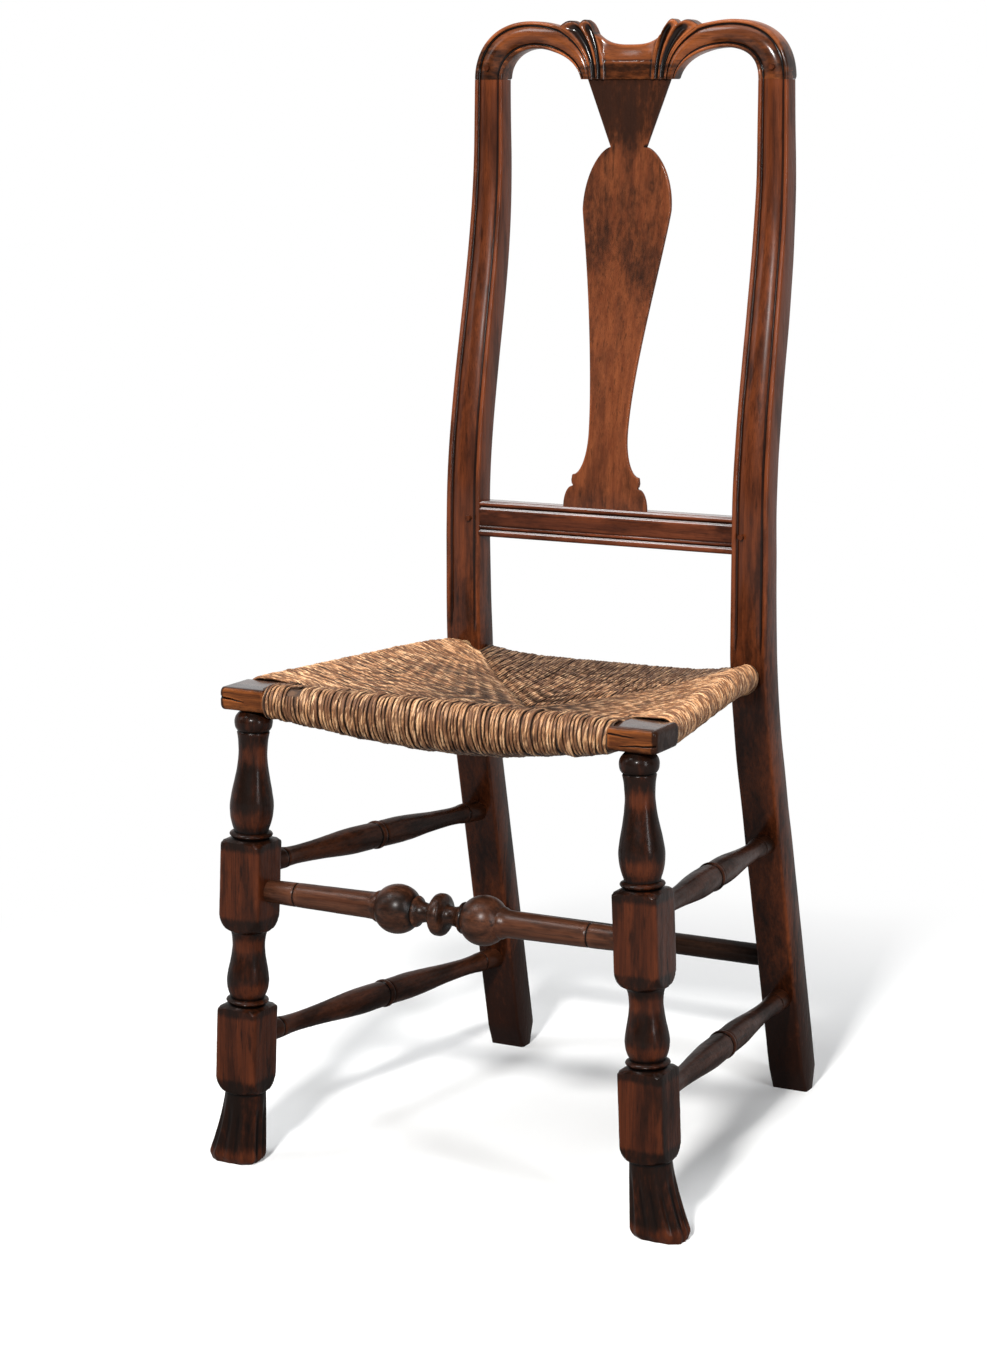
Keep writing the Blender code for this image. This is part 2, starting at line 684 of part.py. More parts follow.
def make_splat():
    rows = splat_outline()
    rings = [tongue_ring(STAY_TOP, STAY_TOP - SPLAT_TONGUE), tongue_ring(STAY_TOP, rows[0][0])]
    rings += [splat_ring(z, half) for z, half in rows]
    rings += [tongue_ring(CREST_JOINT, CREST_JOINT), tongue_ring(CREST_JOINT, CREST_JOINT + SPLAT_TONGUE)]
    return place("splat", loft("splat", rings), wood)


def stay_front():
    return stile_front(STAY_BOTTOM + STAY_HEIGHT / 2) + STAY_SETBACK


def stay_ring(x):
    """Section of the stay rail: a bead along each edge of its front, a hollow and a swell between."""
    front = stay_front()
    back = front + STAY_THICKNESS
    shape = [(0.0, 1.2), (0.05, 0.2), (0.12, 0.0), (0.19, 0.3), (0.22, 1.3), (0.34, 0.9), (0.5, 0.5),
             (0.66, 0.9), (0.78, 1.3), (0.81, 0.3), (0.88, 0.0), (0.95, 0.2), (1.0, 1.2)]
    ring = [(x, front + d * MOULDING_DEPTH, STAY_BOTTOM + u * STAY_HEIGHT) for u, d in shape]
    return ring + [(x, back, STAY_TOP), (x, back, STAY_BOTTOM)]


def stay_tenon(grow=0.0):
    """Low and high corners, in Y and Z, of the tenon at either end of the stay rail."""
    middle_y = stay_front() + STAY_THICKNESS / 2
    middle_z = STAY_BOTTOM + STAY_HEIGHT / 2
    half_y = STAY_TENON_THICKNESS / 2 + grow
    half_z = STAY_TENON_HEIGHT / 2 + grow
    return (middle_y - half_y, middle_z - half_z), (middle_y + half_y, middle_z + half_z)


def make_stay_rail():
    shoulder = STILE_INNER - FIT
    low, high = stay_tenon()

    def tenon_ring(x):
        return [(x, min(high[0], max(low[0], y)), min(high[1], max(low[1], z))) for _, y, z in stay_ring(x)]

    tip = STILE_INNER + STAY_TENON_LENGTH
    rings = [tenon_ring(-tip), tenon_ring(-shoulder), stay_ring(-shoulder), stay_ring(shoulder),
             tenon_ring(shoulder), tenon_ring(tip)]
    rail = place("stay_rail", loft("stay_rail", rings), wood)
    cut(rail, splat_slot("splat_foot_slot", STAY_TOP - SPLAT_TONGUE - FIT, STAY_TOP + CUT_PAST, STAY_TOP))
    return rail


def cut_stay_mortise(stile, word, side):
    low, high = stay_tenon(FIT)
    near = STILE_INNER - CUT_PAST
    far = STILE_INNER + STAY_TENON_LENGTH + FIT
    x = sorted((side * near, side * far))
    cut(stile, box_cutter(f"{word}_stay_mortise", (x[0], *low), (x[1], *high)))


# Front legs

def vase(top, bottom, neck, belly, foot):
    """Turned vase between two heights: a slim neck that swells to a low belly and draws in again."""
    shape = [(0.0, neck * 1.14), (0.20, neck), (0.46, blend(neck, belly, 0.42)), (0.76, belly),
             (0.89, blend(foot, belly, 0.70)), (1.0, foot)]
    return [(blend(top, bottom, t), radius) for t, radius in shape]


def ring_turning(top, radius, foot):
    """A half-round ring between two quirks, from its top down."""
    step = LEG_RING_HEIGHT / 4
    return [(top - step * 0.4, radius * 0.92), (top - step * 1.6, radius), (top - step * 2.8, radius * 0.92),
            (top - step * 3.4, foot)]


def shoulder_turning(edge, into, small, fullness):
    """Where the lathe's round cut runs out into a squared block, from its edge into the block."""
    big = LEG_SQUARE / sqrt(2) * fullness
    quarter = [i / 2 * pi / 2 for i in range(3)]
    return [(edge + into * (1 - cos(turn)), blend(small, big, sin(turn))) for turn in quarter]


def leg_turning():
    """Heights and lathe radii of a front leg, from its seat down to the ankle."""
    cap = [(LEG_SEAT, LEG_CAP_RADIUS),
           (LEG_TOP - LEG_BEAD_HEIGHT * 0.25, LEG_BEAD_RADIUS * 0.88),
           (LEG_TOP - LEG_BEAD_HEIGHT * 0.50, LEG_BEAD_RADIUS),
           (LEG_TOP - LEG_BEAD_HEIGHT * 0.75, LEG_BEAD_RADIUS),
           (LEG_TOP - LEG_BEAD_HEIGHT * 0.97, LEG_NECK_RADIUS * 1.10)]
    upper_ring = LEG_UPPER_BLOCK_TOP + LEG_RING_HEIGHT
    rows = cap + vase(LEG_TOP - LEG_BEAD_HEIGHT, upper_ring, LEG_NECK_RADIUS, LEG_VASE_RADIUS,
                      LEG_VASE_FOOT_RADIUS)
    rows += ring_turning(upper_ring, LEG_RING_RADIUS, LEG_VASE_FOOT_RADIUS)
    rows += shoulder_turning(LEG_UPPER_BLOCK_TOP, -LEG_SHOULDER, LEG_RING_RADIUS * 0.95, 1.06)
    waist = LEG_RING_RADIUS * 0.97
    rows += reversed(shoulder_turning(LEG_UPPER_BLOCK_BOTTOM, LEG_LOWER_SHOULDER, waist, 0.98))
    lower_ring = LEG_LOWER_BLOCK_TOP + LEG_RING_HEIGHT
    rows += vase(LEG_UPPER_BLOCK_BOTTOM - LEG_RING_HEIGHT * 0.3, lower_ring, LEG_LOWER_NECK_RADIUS,
                 LEG_LOWER_VASE_RADIUS, LEG_VASE_FOOT_RADIUS)
    rows += ring_turning(lower_ring, LEG_RING_RADIUS, LEG_VASE_FOOT_RADIUS)
    rows += shoulder_turning(LEG_LOWER_BLOCK_TOP, -LEG_SHOULDER, LEG_RING_RADIUS * 0.95, 1.06)
    rows += reversed(shoulder_turning(LEG_LOWER_BLOCK_BOTTOM, LEG_LOWER_SHOULDER, LEG_ANKLE_RADIUS, 0.98))
    return rows


def leg_ring(z, radius):
    """A level section: the lathe's circle, cut off by the faces of the square stock with worn corners."""
    ring = []
    for turn in LEG_TURNS:
        worn = (abs(cos(turn)) ** 14 + abs(sin(turn)) ** 14) ** (1 / 14)
        reach = min(radius, LEG_SQUARE / 2 / worn)
        ring.append((reach * cos(turn), reach * sin(turn), z))
    return ring


def foot_ring(side, height):
    """A level section of the brush foot: it flares outward to the floor, with flutes down its sides,
    and its toe rounds under at the sole."""
    down = 1 - height / LEG_LOWER_BLOCK_BOTTOM
    flare = FOOT_FLARE * down ** 1.5
    under = FOOT_TOE_ROUNDING * max(0.0, 1 - height / FOOT_TOE_HEIGHT) ** 2
    half_x = LEG_ANKLE_RADIUS + flare / 2 - under
    half_y = LEG_ANKLE_RADIUS - under
    power = 2 + 1.2 * down
    groove = FOOT_FLUTE_DEPTH / LEG_ANKLE_RADIUS * smoothstep(down * 3)
    ring = []
    for turn in LEG_TURNS:
        reach = 1 / (abs(cos(turn)) ** power + abs(sin(turn)) ** power) ** (1 / power)
        reach *= 1 - groove * (0.5 - 0.5 * cos(FOOT_FLUTES * turn))
        ring.append((side * flare / 2 + half_x * reach * cos(turn), half_y * reach * sin(turn), height))
    return ring


def make_leg(word, side):
    """Built upright round its own axis, then splayed outward. The sole is cut level with the floor."""
    splay = atan(LEG_SPLAY)
    tenon = [(LEG_TOP + LEG_TENON_LENGTH, LEG_TENON_RADIUS), (LEG_SEAT, LEG_TENON_RADIUS)]
    rings = [leg_ring((z - LEG_TOP) / cos(splay), radius) for z, radius in tenon + leg_turning()]
    heights = [blend(FOOT_TOE_HEIGHT, LEG_LOWER_BLOCK_BOTTOM, 1 - i / 4) for i in range(1, 5)]
    for height in heights + [FOOT_TOE_HEIGHT * 0.35, 0.0]:
        rings.append([(x, y, (z - LEG_TOP) / cos(splay)) for x, y, z in foot_ring(side, height)])
    rings[-1] = [(x, y, (-LEG_TOP - side * sin(splay) * x) / cos(splay)) for x, y, _ in rings[-1]]
    leg = place(f"{word}_front_leg", loft(f"{word}_front_leg", rings), wood_dark)
    leg.matrix_world = Matrix.Translation(leg_axis(side, LEG_TOP)) @ Matrix.Rotation(-side * splay, 4, "Y")
    return leg


# Seat frame

def rounded_section(x, half_y, half_z, rounding, middle):
    """Rounded rectangle across X, three points to a corner."""
    ring = []
    for corner, (sy, sz) in enumerate(((1, 1), (-1, 1), (-1, -1), (1, -1))):
        for step in range(3):
            turn = (corner + step / 2) * pi / 2
            ring.append((x, middle[0] + sy * (half_y - rounding) + rounding * cos(turn),
                         middle[1] + sz * (half_z - rounding) + rounding * sin(turn)))
    return ring


def make_front_rail():
    middle = (BLOCK_MIDDLE_Y, BLOCK_MIDDLE_Z)
    end = SEAT_FRONT_WIDTH / 2
    inner = end - BLOCK_LENGTH
    ease = BLOCK_ROUNDING

    def block(x, shrink):
        return rounded_section(x, BLOCK_DEPTH / 2 - shrink, BLOCK_THICKNESS / 2 - shrink, ease, middle)

    def rail(x):
        half_y, half_z = FRONT_RAIL_DEPTH / 2, FRONT_RAIL_THICKNESS / 2
        return rounded_section(x, half_y, half_z, FRONT_RAIL_ROUNDING, (LEG_Y, BLOCK_MIDDLE_Z))

    half = [block(end, ease * 0.9), block(end - ease * 0.35, ease * 0.3), block(end - ease, 0.0),
            block(inner, 0.0), rail(inner)]
    rings = half + [[(-x, y, z) for x, y, z in ring] for ring in reversed(half)]
    seat_rail = place("front_seat_rail", loft("front_seat_rail", rings), wood)
    for word, side in SIDES:
        low = leg_axis(side, LEG_TOP - CUT_PAST)
        high = leg_axis(side, LEG_TOP + LEG_TENON_LENGTH + FIT)
        cut(seat_rail, hole_cutter(f"{word}_leg_hole", low, high, LEG_TENON_RADIUS))
    return seat_rail


def side_rail_ends(side):
    """Where a side rail's axis meets the back of its corner block and the front of its stile."""
    front = Vector((side * (SEAT_FRONT_WIDTH / 2 - SIDE_RAIL_INSET_FRONT), FRONT_Y + BLOCK_DEPTH,
                    SEAT_HEIGHT - SIDE_RAIL_DROP_FRONT))
    height = SEAT_HEIGHT - SIDE_RAIL_DROP_REAR
    rear = Vector((side * (STILE_INNER + SIDE_RAIL_INSET_REAR), stile_front(height), height))
    return front, rear


def seat_rail_profile(length):
    taper = SEAT_RAIL_TAPER
    return [(0.0, SEAT_RAIL_END_RADIUS), (taper, SEAT_RAIL_END_RADIUS), (2 * taper, SEAT_RAIL_RADIUS),
            (length - 2 * taper, SEAT_RAIL_RADIUS), (length - taper, SEAT_RAIL_END_RADIUS),
            (length, SEAT_RAIL_END_RADIUS)]


def make_side_rail(word, side):
    front, rear = side_rail_ends(side)
    ahead = (rear - front).normalized()
    start = front - ahead * SIDE_RAIL_SOCKET_FRONT
    stop = rear + ahead * SIDE_RAIL_SOCKET_REAR
    rail = turned(f"{word}_seat_rail", seat_rail_profile((stop - start).length), start, stop, hidden_wood)
    front_hole = (start - ahead * FIT, front + ahead * CUT_PAST)
    rear_hole = (rear - ahead * CUT_PAST, stop + ahead * FIT)
    cut(pieces["front_seat_rail"], hole_cutter(f"{word}_rail_front_hole", *front_hole, SEAT_RAIL_END_RADIUS))
    cut(pieces[f"{word}_stile"], hole_cutter(f"{word}_rail_rear_hole", *rear_hole, SEAT_RAIL_END_RADIUS))
    return rail


def rear_rail_axis():
    height = SEAT_HEIGHT - REAR_RAIL_DROP
    return stile_front(height) + REAR_RAIL_SETBACK, height


def make_rear_rail():
    y, z = rear_rail_axis()
    reach = STILE_INNER + REAR_RAIL_SOCKET
    profile = seat_rail_profile(2 * reach)
    rail = turned("rear_seat_rail", profile, (-reach, y, z), (reach, y, z), hidden_wood)
    for word, side in SIDES:
        near = (side * (STILE_INNER - CUT_PAST), y, z)
        far = (side * (reach + FIT), y, z)
        cut(pieces[f"{word}_stile"], hole_cutter(f"{word}_rear_rail_hole", near, far, SEAT_RAIL_END_RADIUS))
    return rail


# Stretchers

def front_stretcher_half():
    """Half of the front stretcher's turning, as (distance from its middle, radius)."""
    half_ring = FRONT_STRETCHER_RING_WIDTH / 2
    ball = FRONT_STRETCHER_BALL_RADIUS
    offset = FRONT_STRETCHER_BALL_OFFSET
    arm = FRONT_STRETCHER_ARM_RADIUS
    neck = FRONT_STRETCHER_NECK_RADIUS
    rows = [(half_ring * 0.35, FRONT_STRETCHER_RING_RADIUS),
            (half_ring * 0.8, FRONT_STRETCHER_RING_RADIUS * 0.88),
            (half_ring * 1.1, neck * 1.25), (half_ring * 1.9, neck),
            (offset - ball * 0.95, ball * 0.60), (offset - ball * 0.80, ball * 0.64)]
    for i in range(5):
        turn = blend(-0.30, 0.30, i / 4) * pi
        rows.append((offset + ball * sin(turn), ball * cos(turn)))
    rows += [(offset + ball * 1.02, arm * 1.06), (offset + ball * 1.4, arm)]
    return rows


def side_stretcher_half(half_length):
    """Half of a side stretcher's turning, as (distance from its middle, radius)."""
    ring = SIDE_STRETCHER_RING_WIDTH / 2
    swell, waist = SIDE_STRETCHER_SWELL_RADIUS, SIDE_STRETCHER_WAIST_RADIUS
    rows = [(ring * 0.55, SIDE_STRETCHER_RING_RADIUS), (ring * 1.2, swell * 0.90), (ring * 1.6, swell * 0.97)]
    shape = [(0.0, swell * 0.97), (0.16, swell), (0.38, blend(waist, swell, 0.62)),
             (0.60, blend(waist, swell, 0.12)), (0.74, waist),
             (0.86, blend(waist, SIDE_STRETCHER_END_RADIUS, 0.5)), (1.0, SIDE_STRETCHER_END_RADIUS)]
    rows += [(blend(ring * 1.6, half_length, t), radius) for t, radius in shape[1:]]
    return rows


def stretcher(name, half_rows, end_radius, start, stop, host_start, host_stop, material):
    """A turned stretcher between two surface points, whose ends run on into their sockets.
    The sockets are cut from the two hosts."""
    ahead = (stop - start).normalized()
    tip = (stop - start).length / 2 + STRETCHER_SOCKET
    half_rows = half_rows + [(tip, end_radius)]
    profile = [(tip - d, radius) for d, radius in reversed(half_rows)]
    profile += [(tip + d, radius) for d, radius in half_rows]
    first = start - ahead * STRETCHER_SOCKET
    last = stop + ahead * STRETCHER_SOCKET
    piece = turned(name, profile, first, last, material)
    first_hole = (first - ahead * FIT, start + ahead * CUT_PAST)
    last_hole = (stop - ahead * CUT_PAST, last + ahead * FIT)
    cut(host_start, hole_cutter(f"{name}_start_socket", *first_hole, end_radius))
    cut(host_stop, hole_cutter(f"{name}_end_socket", *last_hole, end_radius))
    return piece


def make_front_stretcher():
    left = leg_axis(-1, FRONT_STRETCHER_HEIGHT) + Vector((LEG_SQUARE / 2, 0, 0))
    right = leg_axis(1, FRONT_STRETCHER_HEIGHT) - Vector((LEG_SQUARE / 2, 0, 0))
    half = front_stretcher_half() + [((right - left).length / 2, FRONT_STRETCHER_END_RADIUS)]
    return stretcher("front_stretcher", half, FRONT_STRETCHER_END_RADIUS, left, right,
                     pieces["left_front_leg"], pieces["right_front_leg"], wood_dark)


def make_side_stretcher(word, side, level, front_z, rear_z):
    """Runs from the axis of the front leg to the middle of the stile, and shows between their faces."""
    leg = leg_axis(side, front_z)
    stile = stile_middle(side, rear_z)
    ahead = (stile - leg).normalized()
    start = leg + ahead * (LEG_SQUARE / 2 / ahead.y)
    stop = stile - ahead * (stile_depth(rear_z) / 2 / ahead.y)
    half = side_stretcher_half((stop - start).length / 2)
    return stretcher(f"{word}_{level}_stretcher", half, SIDE_STRETCHER_END_RADIUS, start, stop,
                     pieces[f"{word}_front_leg"], pieces[f"{word}_stile"], wood_dark)


def make_rear_stretcher():
    z = REAR_STRETCHER_HEIGHT
    y = stile_middle(1, z).y
    reach = stile_inner(z)
    half = [(reach * 0.5, REAR_STRETCHER_RADIUS)]
    ends = (Vector((-reach, y, z)), Vector((reach, y, z)))
    return stretcher("rear_stretcher", half, REAR_STRETCHER_RADIUS, *ends,
                     pieces["left_stile"], pieces["right_stile"], wood_dark)


# Pegs

def make_peg(name, x, front, z, hosts):
    """A wooden pin driven in from the front, through the cheek of a mortise and its tenon."""
    start = Vector((x, front, z))
    stop = start + Vector((0, PEG_LENGTH, 0))
    peg = place(name, round_rod(name, PEG_RADIUS, PEG_LENGTH, HOLE_SIDES), peg_wood)
    peg.matrix_world = along(start, stop)
    hole = (start - Vector((0, CUT_PAST, 0)), stop + Vector((0, FIT, 0)))
    tool = hole_cutter(f"{name}_hole", *hole, PEG_RADIUS)
    for host in hosts:
        cut(host, tool)
    return peg


def make_pegs():
    for word, side in SIDES:
        stile = pieces[f"{word}_stile"]
        name = f"crest_{word}_peg"
        x = stile_middle(side, CREST_JOINT).x
        z = CREST_JOINT + CREST_TENON_HEIGHT * 0.55
        hosts = (pieces["crest_rail"], stile)
        pieces[name] = make_peg(name, x, stile_front(CREST_JOINT) + FIT, z, hosts)
        name = f"stay_{word}_peg"
        x = side * (STILE_INNER + STAY_TENON_LENGTH * 0.55)
        z = STAY_BOTTOM + STAY_HEIGHT / 2
        hosts = (pieces["stay_rail"], stile)
        pieces[name] = make_peg(name, x, stile_front(z) + FIT, z, hosts)


# Rush seat

def rush_edges():
    """Roll centre and half thickness at the front, at the rear, and at both ends of a side."""
    front = (BLOCK_MIDDLE_Z + RUSH_FRONT_RISE, RUSH_ROLL_FRONT)
    rear = (SEAT_HEIGHT - REAR_RAIL_DROP, RUSH_ROLL_REAR)
    side_front = (SEAT_HEIGHT - SIDE_RAIL_DROP_FRONT, RUSH_ROLL_SIDE)
    side_rear = (SEAT_HEIGHT - SIDE_RAIL_DROP_REAR, RUSH_ROLL_SIDE)
    return front, rear, side_front, side_rear


def rush_point(u, w):
    """Plan place, top and underside of the rush. u runs from -1 to 1 across, w from -1 to 1 front to rear.
    Four panels dip to the middle, with a gully along each diagonal, and a round roll at the edge."""
    front_y = FRONT_Y - RUSH_PROUD
    rear_y = rear_rail_axis()[0] + RUSH_ROLL_REAR
    y = blend(front_y, rear_y, (w + 1) / 2)
    near, far = side_rail_ends(1)
    half = near.x + (far.x - near.x) * (y - near.y) / (far.y - near.y) + RUSH_ROLL_SIDE
    front, rear, side_front, side_rear = rush_edges()
    a, b = abs(u), abs(w)
    at_side = a ** 6 / (a ** 6 + b ** 6) if a + b > 0 else 0.5
    belly = RUSH_FRONT_BELLY * (1 - u * u) ** 2
    end = (front[0] - belly, front[1] + belly) if w < 0 else rear
    along_side = (w + 1) / 2
    level, thick = [blend(end[i], blend(side_front[i], side_rear[i], along_side), at_side) for i in (0, 1)]
    middle = max(a, b)
    floor = (side_front[0] + side_rear[0]) / 2 + RUSH_ROLL_SIDE - RUSH_DISH
    top = blend(floor, level + thick, middle ** 1.7)
    gully = RUSH_GULLY * exp(-((a - b) / 0.09) ** 2) * 4 * middle * (1 - middle)
    under = blend(level - thick, floor - RUSH_MIDDLE_THICKNESS, (1 - a * a) ** 2 * (1 - b ** 4))
    roll = min(1.0, (1 - middle) * half / RUSH_ROLL_SIDE)
    round_off = sqrt(max(0.0, 1 - (1 - roll) ** 2))
    return u * half, y, blend(level, top - gully, round_off), blend(level, under, round_off)


def make_rush():
    """A closed pillow over the rails, cut where the rails, blocks and stiles pass."""
    inset = (0.0, 0.010, 0.032, 0.080, 0.20, 0.42, 0.70, 1.0)
    lines = [e - 1 for e in inset] + [1 - e for e in reversed(inset[:-1])]
    count = len(lines)
    points = [rush_point(u, w) for w in lines for u in lines]
    vertices = [(x, y, top) for x, y, top, _ in points] + [(x, y, under) for x, y, _, under in points]
    faces = []
    for r in range(count - 1):
        for c in range(count - 1):
            quad = [r * count + c, r * count + c + 1, (r + 1) * count + c + 1, (r + 1) * count + c]
            faces.append(tuple(quad))
            faces.append(tuple(i + count * count for i in reversed(quad)))
    rush = place("rush_seat", mesh_from("rush_seat", vertices, faces), rush_cord)
    cut_rush(rush)
    return rush


def cut_rush(rush):
    """Takes the tunnels of the four rails, the corner blocks and the stiles out of the rush."""
    tools = []
    for word, side in SIDES:
        front, rear = side_rail_ends(side)
        past = (rear - front).normalized() * CUT_PAST
        tools.append(hole_cutter(f"{word}_rail_tunnel", front - past, rear + past, SEAT_RAIL_RADIUS))
    y, z = rear_rail_axis()
    reach = STILE_INNER + CUT_PAST
    tools.append(hole_cutter("rear_rail_tunnel", (-reach, y, z), (reach, y, z), SEAT_RAIL_RADIUS))
    inner = SEAT_FRONT_WIDTH / 2 - BLOCK_LENGTH - FIT
    rail_half = (FRONT_RAIL_DEPTH / 2 + FIT, FRONT_RAIL_THICKNESS / 2 + FIT)
    rings = [rounded_section(x, *rail_half, FRONT_RAIL_ROUNDING, (LEG_Y, BLOCK_MIDDLE_Z))
             for x in (-inner - CUT_PAST, inner + CUT_PAST)]
    tools.append(cutter("front_rail_tunnel", loft("front_rail_tunnel", rings)))
    beyond = SEAT_FRONT_WIDTH
    for word, side in SIDES:
        x = sorted((side * inner, side * beyond))
        tools.append(box_cutter(f"{word}_block_space", (x[0], FRONT_Y - beyond, 0),
                                (x[1], FRONT_Y + BLOCK_DEPTH + FIT, BACK_HEIGHT)))
        foot = SEAT_HEIGHT - STILE_SPACE_BELOW
        levels = [blend(foot, SEAT_HEIGHT + STILE_SPACE_ABOVE, i / 6) for i in range(7)]
        rings = [stile_ring(side, z, FIT) for z in levels]
        tools.append(cutter(f"{word}_stile_space", loft(f"{word}_stile_space", rings)))
    for tool in tools:
        cut(rush, tool, "MANIFOLD")


clear_scene()
chair = new_collection("rush_seat_side_chair")
cutters = new_collection("cutters")
wood = finish("stained_wood", WOOD_COLOR, 0.35)
wood_dark = finish("stained_wood_dark", WOOD_DARK_COLOR, 0.35)
peg_wood = finish("peg_wood", PEG_COLOR, 0.45)
hidden_wood = finish("bare_wood", HIDDEN_WOOD_COLOR, 0.7)
rush_cord = finish("rush", RUSH_COLOR, 0.75)

pieces = {}
for word, side in SIDES:
    pieces[f"{word}_stile"] = make_stile(word, side)
    pieces[f"{word}_front_leg"] = make_leg(word, side)
pieces["crest_rail"] = make_crest()
pieces["stay_rail"] = make_stay_rail()
pieces["splat"] = make_splat()
pieces["front_seat_rail"] = make_front_rail()
pieces["rear_seat_rail"] = make_rear_rail()
for word, side in SIDES:
    cut_stay_mortise(pieces[f"{word}_stile"], word, side)
    pieces[f"{word}_seat_rail"] = make_side_rail(word, side)
    make_side_stretcher(word, side, "upper", UPPER_STRETCHER_FRONT, UPPER_STRETCHER_REAR)
    make_side_stretcher(word, side, "lower", LOWER_STRETCHER_FRONT, LOWER_STRETCHER_REAR)
pieces["front_stretcher"] = make_front_stretcher()
pieces["rear_stretcher"] = make_rear_stretcher()
make_pegs()
pieces["rush_seat"] = make_rush()
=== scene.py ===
"""Looks of the rush seat side chair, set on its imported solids."""

from math import atan, cos, exp, hypot, pi, radians, sin, sqrt

import bmesh
import bpy
import numpy as np
from mathutils import Matrix, Vector, noise


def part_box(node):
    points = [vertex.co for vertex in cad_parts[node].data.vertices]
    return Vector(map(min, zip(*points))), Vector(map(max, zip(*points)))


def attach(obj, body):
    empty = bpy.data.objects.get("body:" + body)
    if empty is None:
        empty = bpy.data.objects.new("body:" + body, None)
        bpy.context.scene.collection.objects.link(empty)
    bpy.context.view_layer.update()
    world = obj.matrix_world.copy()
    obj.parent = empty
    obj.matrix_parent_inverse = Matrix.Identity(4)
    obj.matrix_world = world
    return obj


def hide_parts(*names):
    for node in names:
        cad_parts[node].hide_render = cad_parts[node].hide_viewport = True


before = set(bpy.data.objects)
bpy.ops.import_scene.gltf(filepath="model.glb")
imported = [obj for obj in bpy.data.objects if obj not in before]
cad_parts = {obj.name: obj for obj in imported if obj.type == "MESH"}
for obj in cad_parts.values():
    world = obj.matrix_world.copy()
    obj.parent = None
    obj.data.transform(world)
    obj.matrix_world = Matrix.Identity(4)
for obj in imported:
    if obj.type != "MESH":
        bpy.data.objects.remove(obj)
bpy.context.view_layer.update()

SIDES = (("left", -1), ("right", 1))

# FRONT LEGS
# Each leg is one stick of square wood, turned to a bead, vases and rings between two squared blocks,
# with a brush foot carved below. A round tenon on its top sits in the corner block of the seat rail.

LEG_SQUARE = 0.0415
LEG_CORNER_POWER = 16
LEG_SPREAD = 0.0175
LEG_LENGTH = 0.4265
LEG_SPLAY = LEG_SPREAD / LEG_LENGTH
LEG_SETBACK = 0.0190
LEG_FROM_RAIL_END = 0.0247
LEG_TENON_RADIUS = 0.008
LEG_TENON_LENGTH = 0.010
LEG_BEAD_HEIGHT = 0.0225
LEG_BEAD = ((0.0, 0.0113), (0.0020, 0.0120), (0.0040, 0.0140), (0.0075, 0.0165), (0.0115, 0.0173),
            (0.0160, 0.0168), (0.0192, 0.0150), (0.0199, 0.0138), (0.0206, 0.0142), (0.0214, 0.0148))
LEG_LIP_DROP = 0.0030
LEG_VASES = ((0.0146, 0.0130, 0.0199), (0.0164, 0.0148, 0.0194))
LEG_VASE_FOOT = 0.0160
LEG_RING_RISE = 0.0070
LEG_RING = ((0.0006, 0.0172), (0.0016, 0.0190), (0.0028, 0.0196), (0.0040, 0.0190), (0.0050, 0.0172),
            (0.0056, 0.0165), (0.0064, 0.0180))
LEG_BLOCKS = ((0.3070, 0.2222), (0.1508, 0.0690))
LEG_BLOCK_SHOULDER = 0.0105
LEG_BLOCK_TAPER = 0.0240
LEG_SHOULDER_RADIUS = 0.0185
LEG_WAIST_RADIUS = 0.0189
LEG_ANKLE_RADIUS = 0.0186
LEG_SIDES = 96
LEG_STEP = 0.0016
FOOT_TOP = LEG_BLOCKS[1][1]
FOOT_FLARE = 0.0165
FOOT_TOE_HEIGHT = 0.009
FOOT_TOE_ROUNDING = 0.0045
FOOT_SOLE_HEIGHT = 0.003
FOOT_FLUTES = 12
FOOT_FLUTE_DEPTH = 0.0022
FOOT_STEP = 0.0022
HAIRLINE = 0.0001
seat_low, seat_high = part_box("front_seat_rail")
seat_height = seat_high.z
leg_top = seat_low.z
leg_y = seat_low.y + LEG_SETBACK
leg_x = seat_high.x - LEG_FROM_RAIL_END


def blend(a, b, t):
    return a + (b - a) * t


def smoothstep(t):
    t = min(1.0, max(0.0, t))
    return t * t * (3 - 2 * t)


def near(value, middle, width):
    """1 at the middle, fading away on both sides of it within about the width."""
    return exp(-((value - middle) / width) ** 2)


def waver(size, *place):
    """The unevenness of hand work: a smooth random swing of about the size, at a place."""
    return size * noise.noise(Vector(place))


def through(points, x):
    """Smooth curve through (x, value) points, level at its turning points so that it never overshoots."""
    def slope(k):
        if k in (0, len(points) - 1):
            return 0.0
        before = (points[k][1] - points[k - 1][1]) / (points[k][0] - points[k - 1][0])
        after = (points[k + 1][1] - points[k][1]) / (points[k + 1][0] - points[k][0])
        return 2 * before * after / (before + after) if before * after > 0 else 0.0

    if x <= points[0][0]:
        return points[0][1]
    for i in range(len(points) - 1):
        (x0, v0), (x1, v1) = points[i], points[i + 1]
        if x <= x1:
            t = (x - x0) / (x1 - x0)
            start = v0 * (1 + 2 * t) * (1 - t) ** 2 + slope(i) * (x1 - x0) * t * (1 - t) ** 2
            return start + v1 * t * t * (3 - 2 * t) - slope(i + 1) * (x1 - x0) * t * t * (1 - t)
    return points[-1][1]


def fine_steps(places, step):
    """The given places, with evenly spaced ones added between them, about a step apart."""
    places = sorted(set(places))
    out = [places[0]]
    for a, b in zip(places, places[1:]):
        count = max(1, round((b - a) / step))
        out += [blend(a, b, i / count) for i in range(1, count + 1)]
    return out


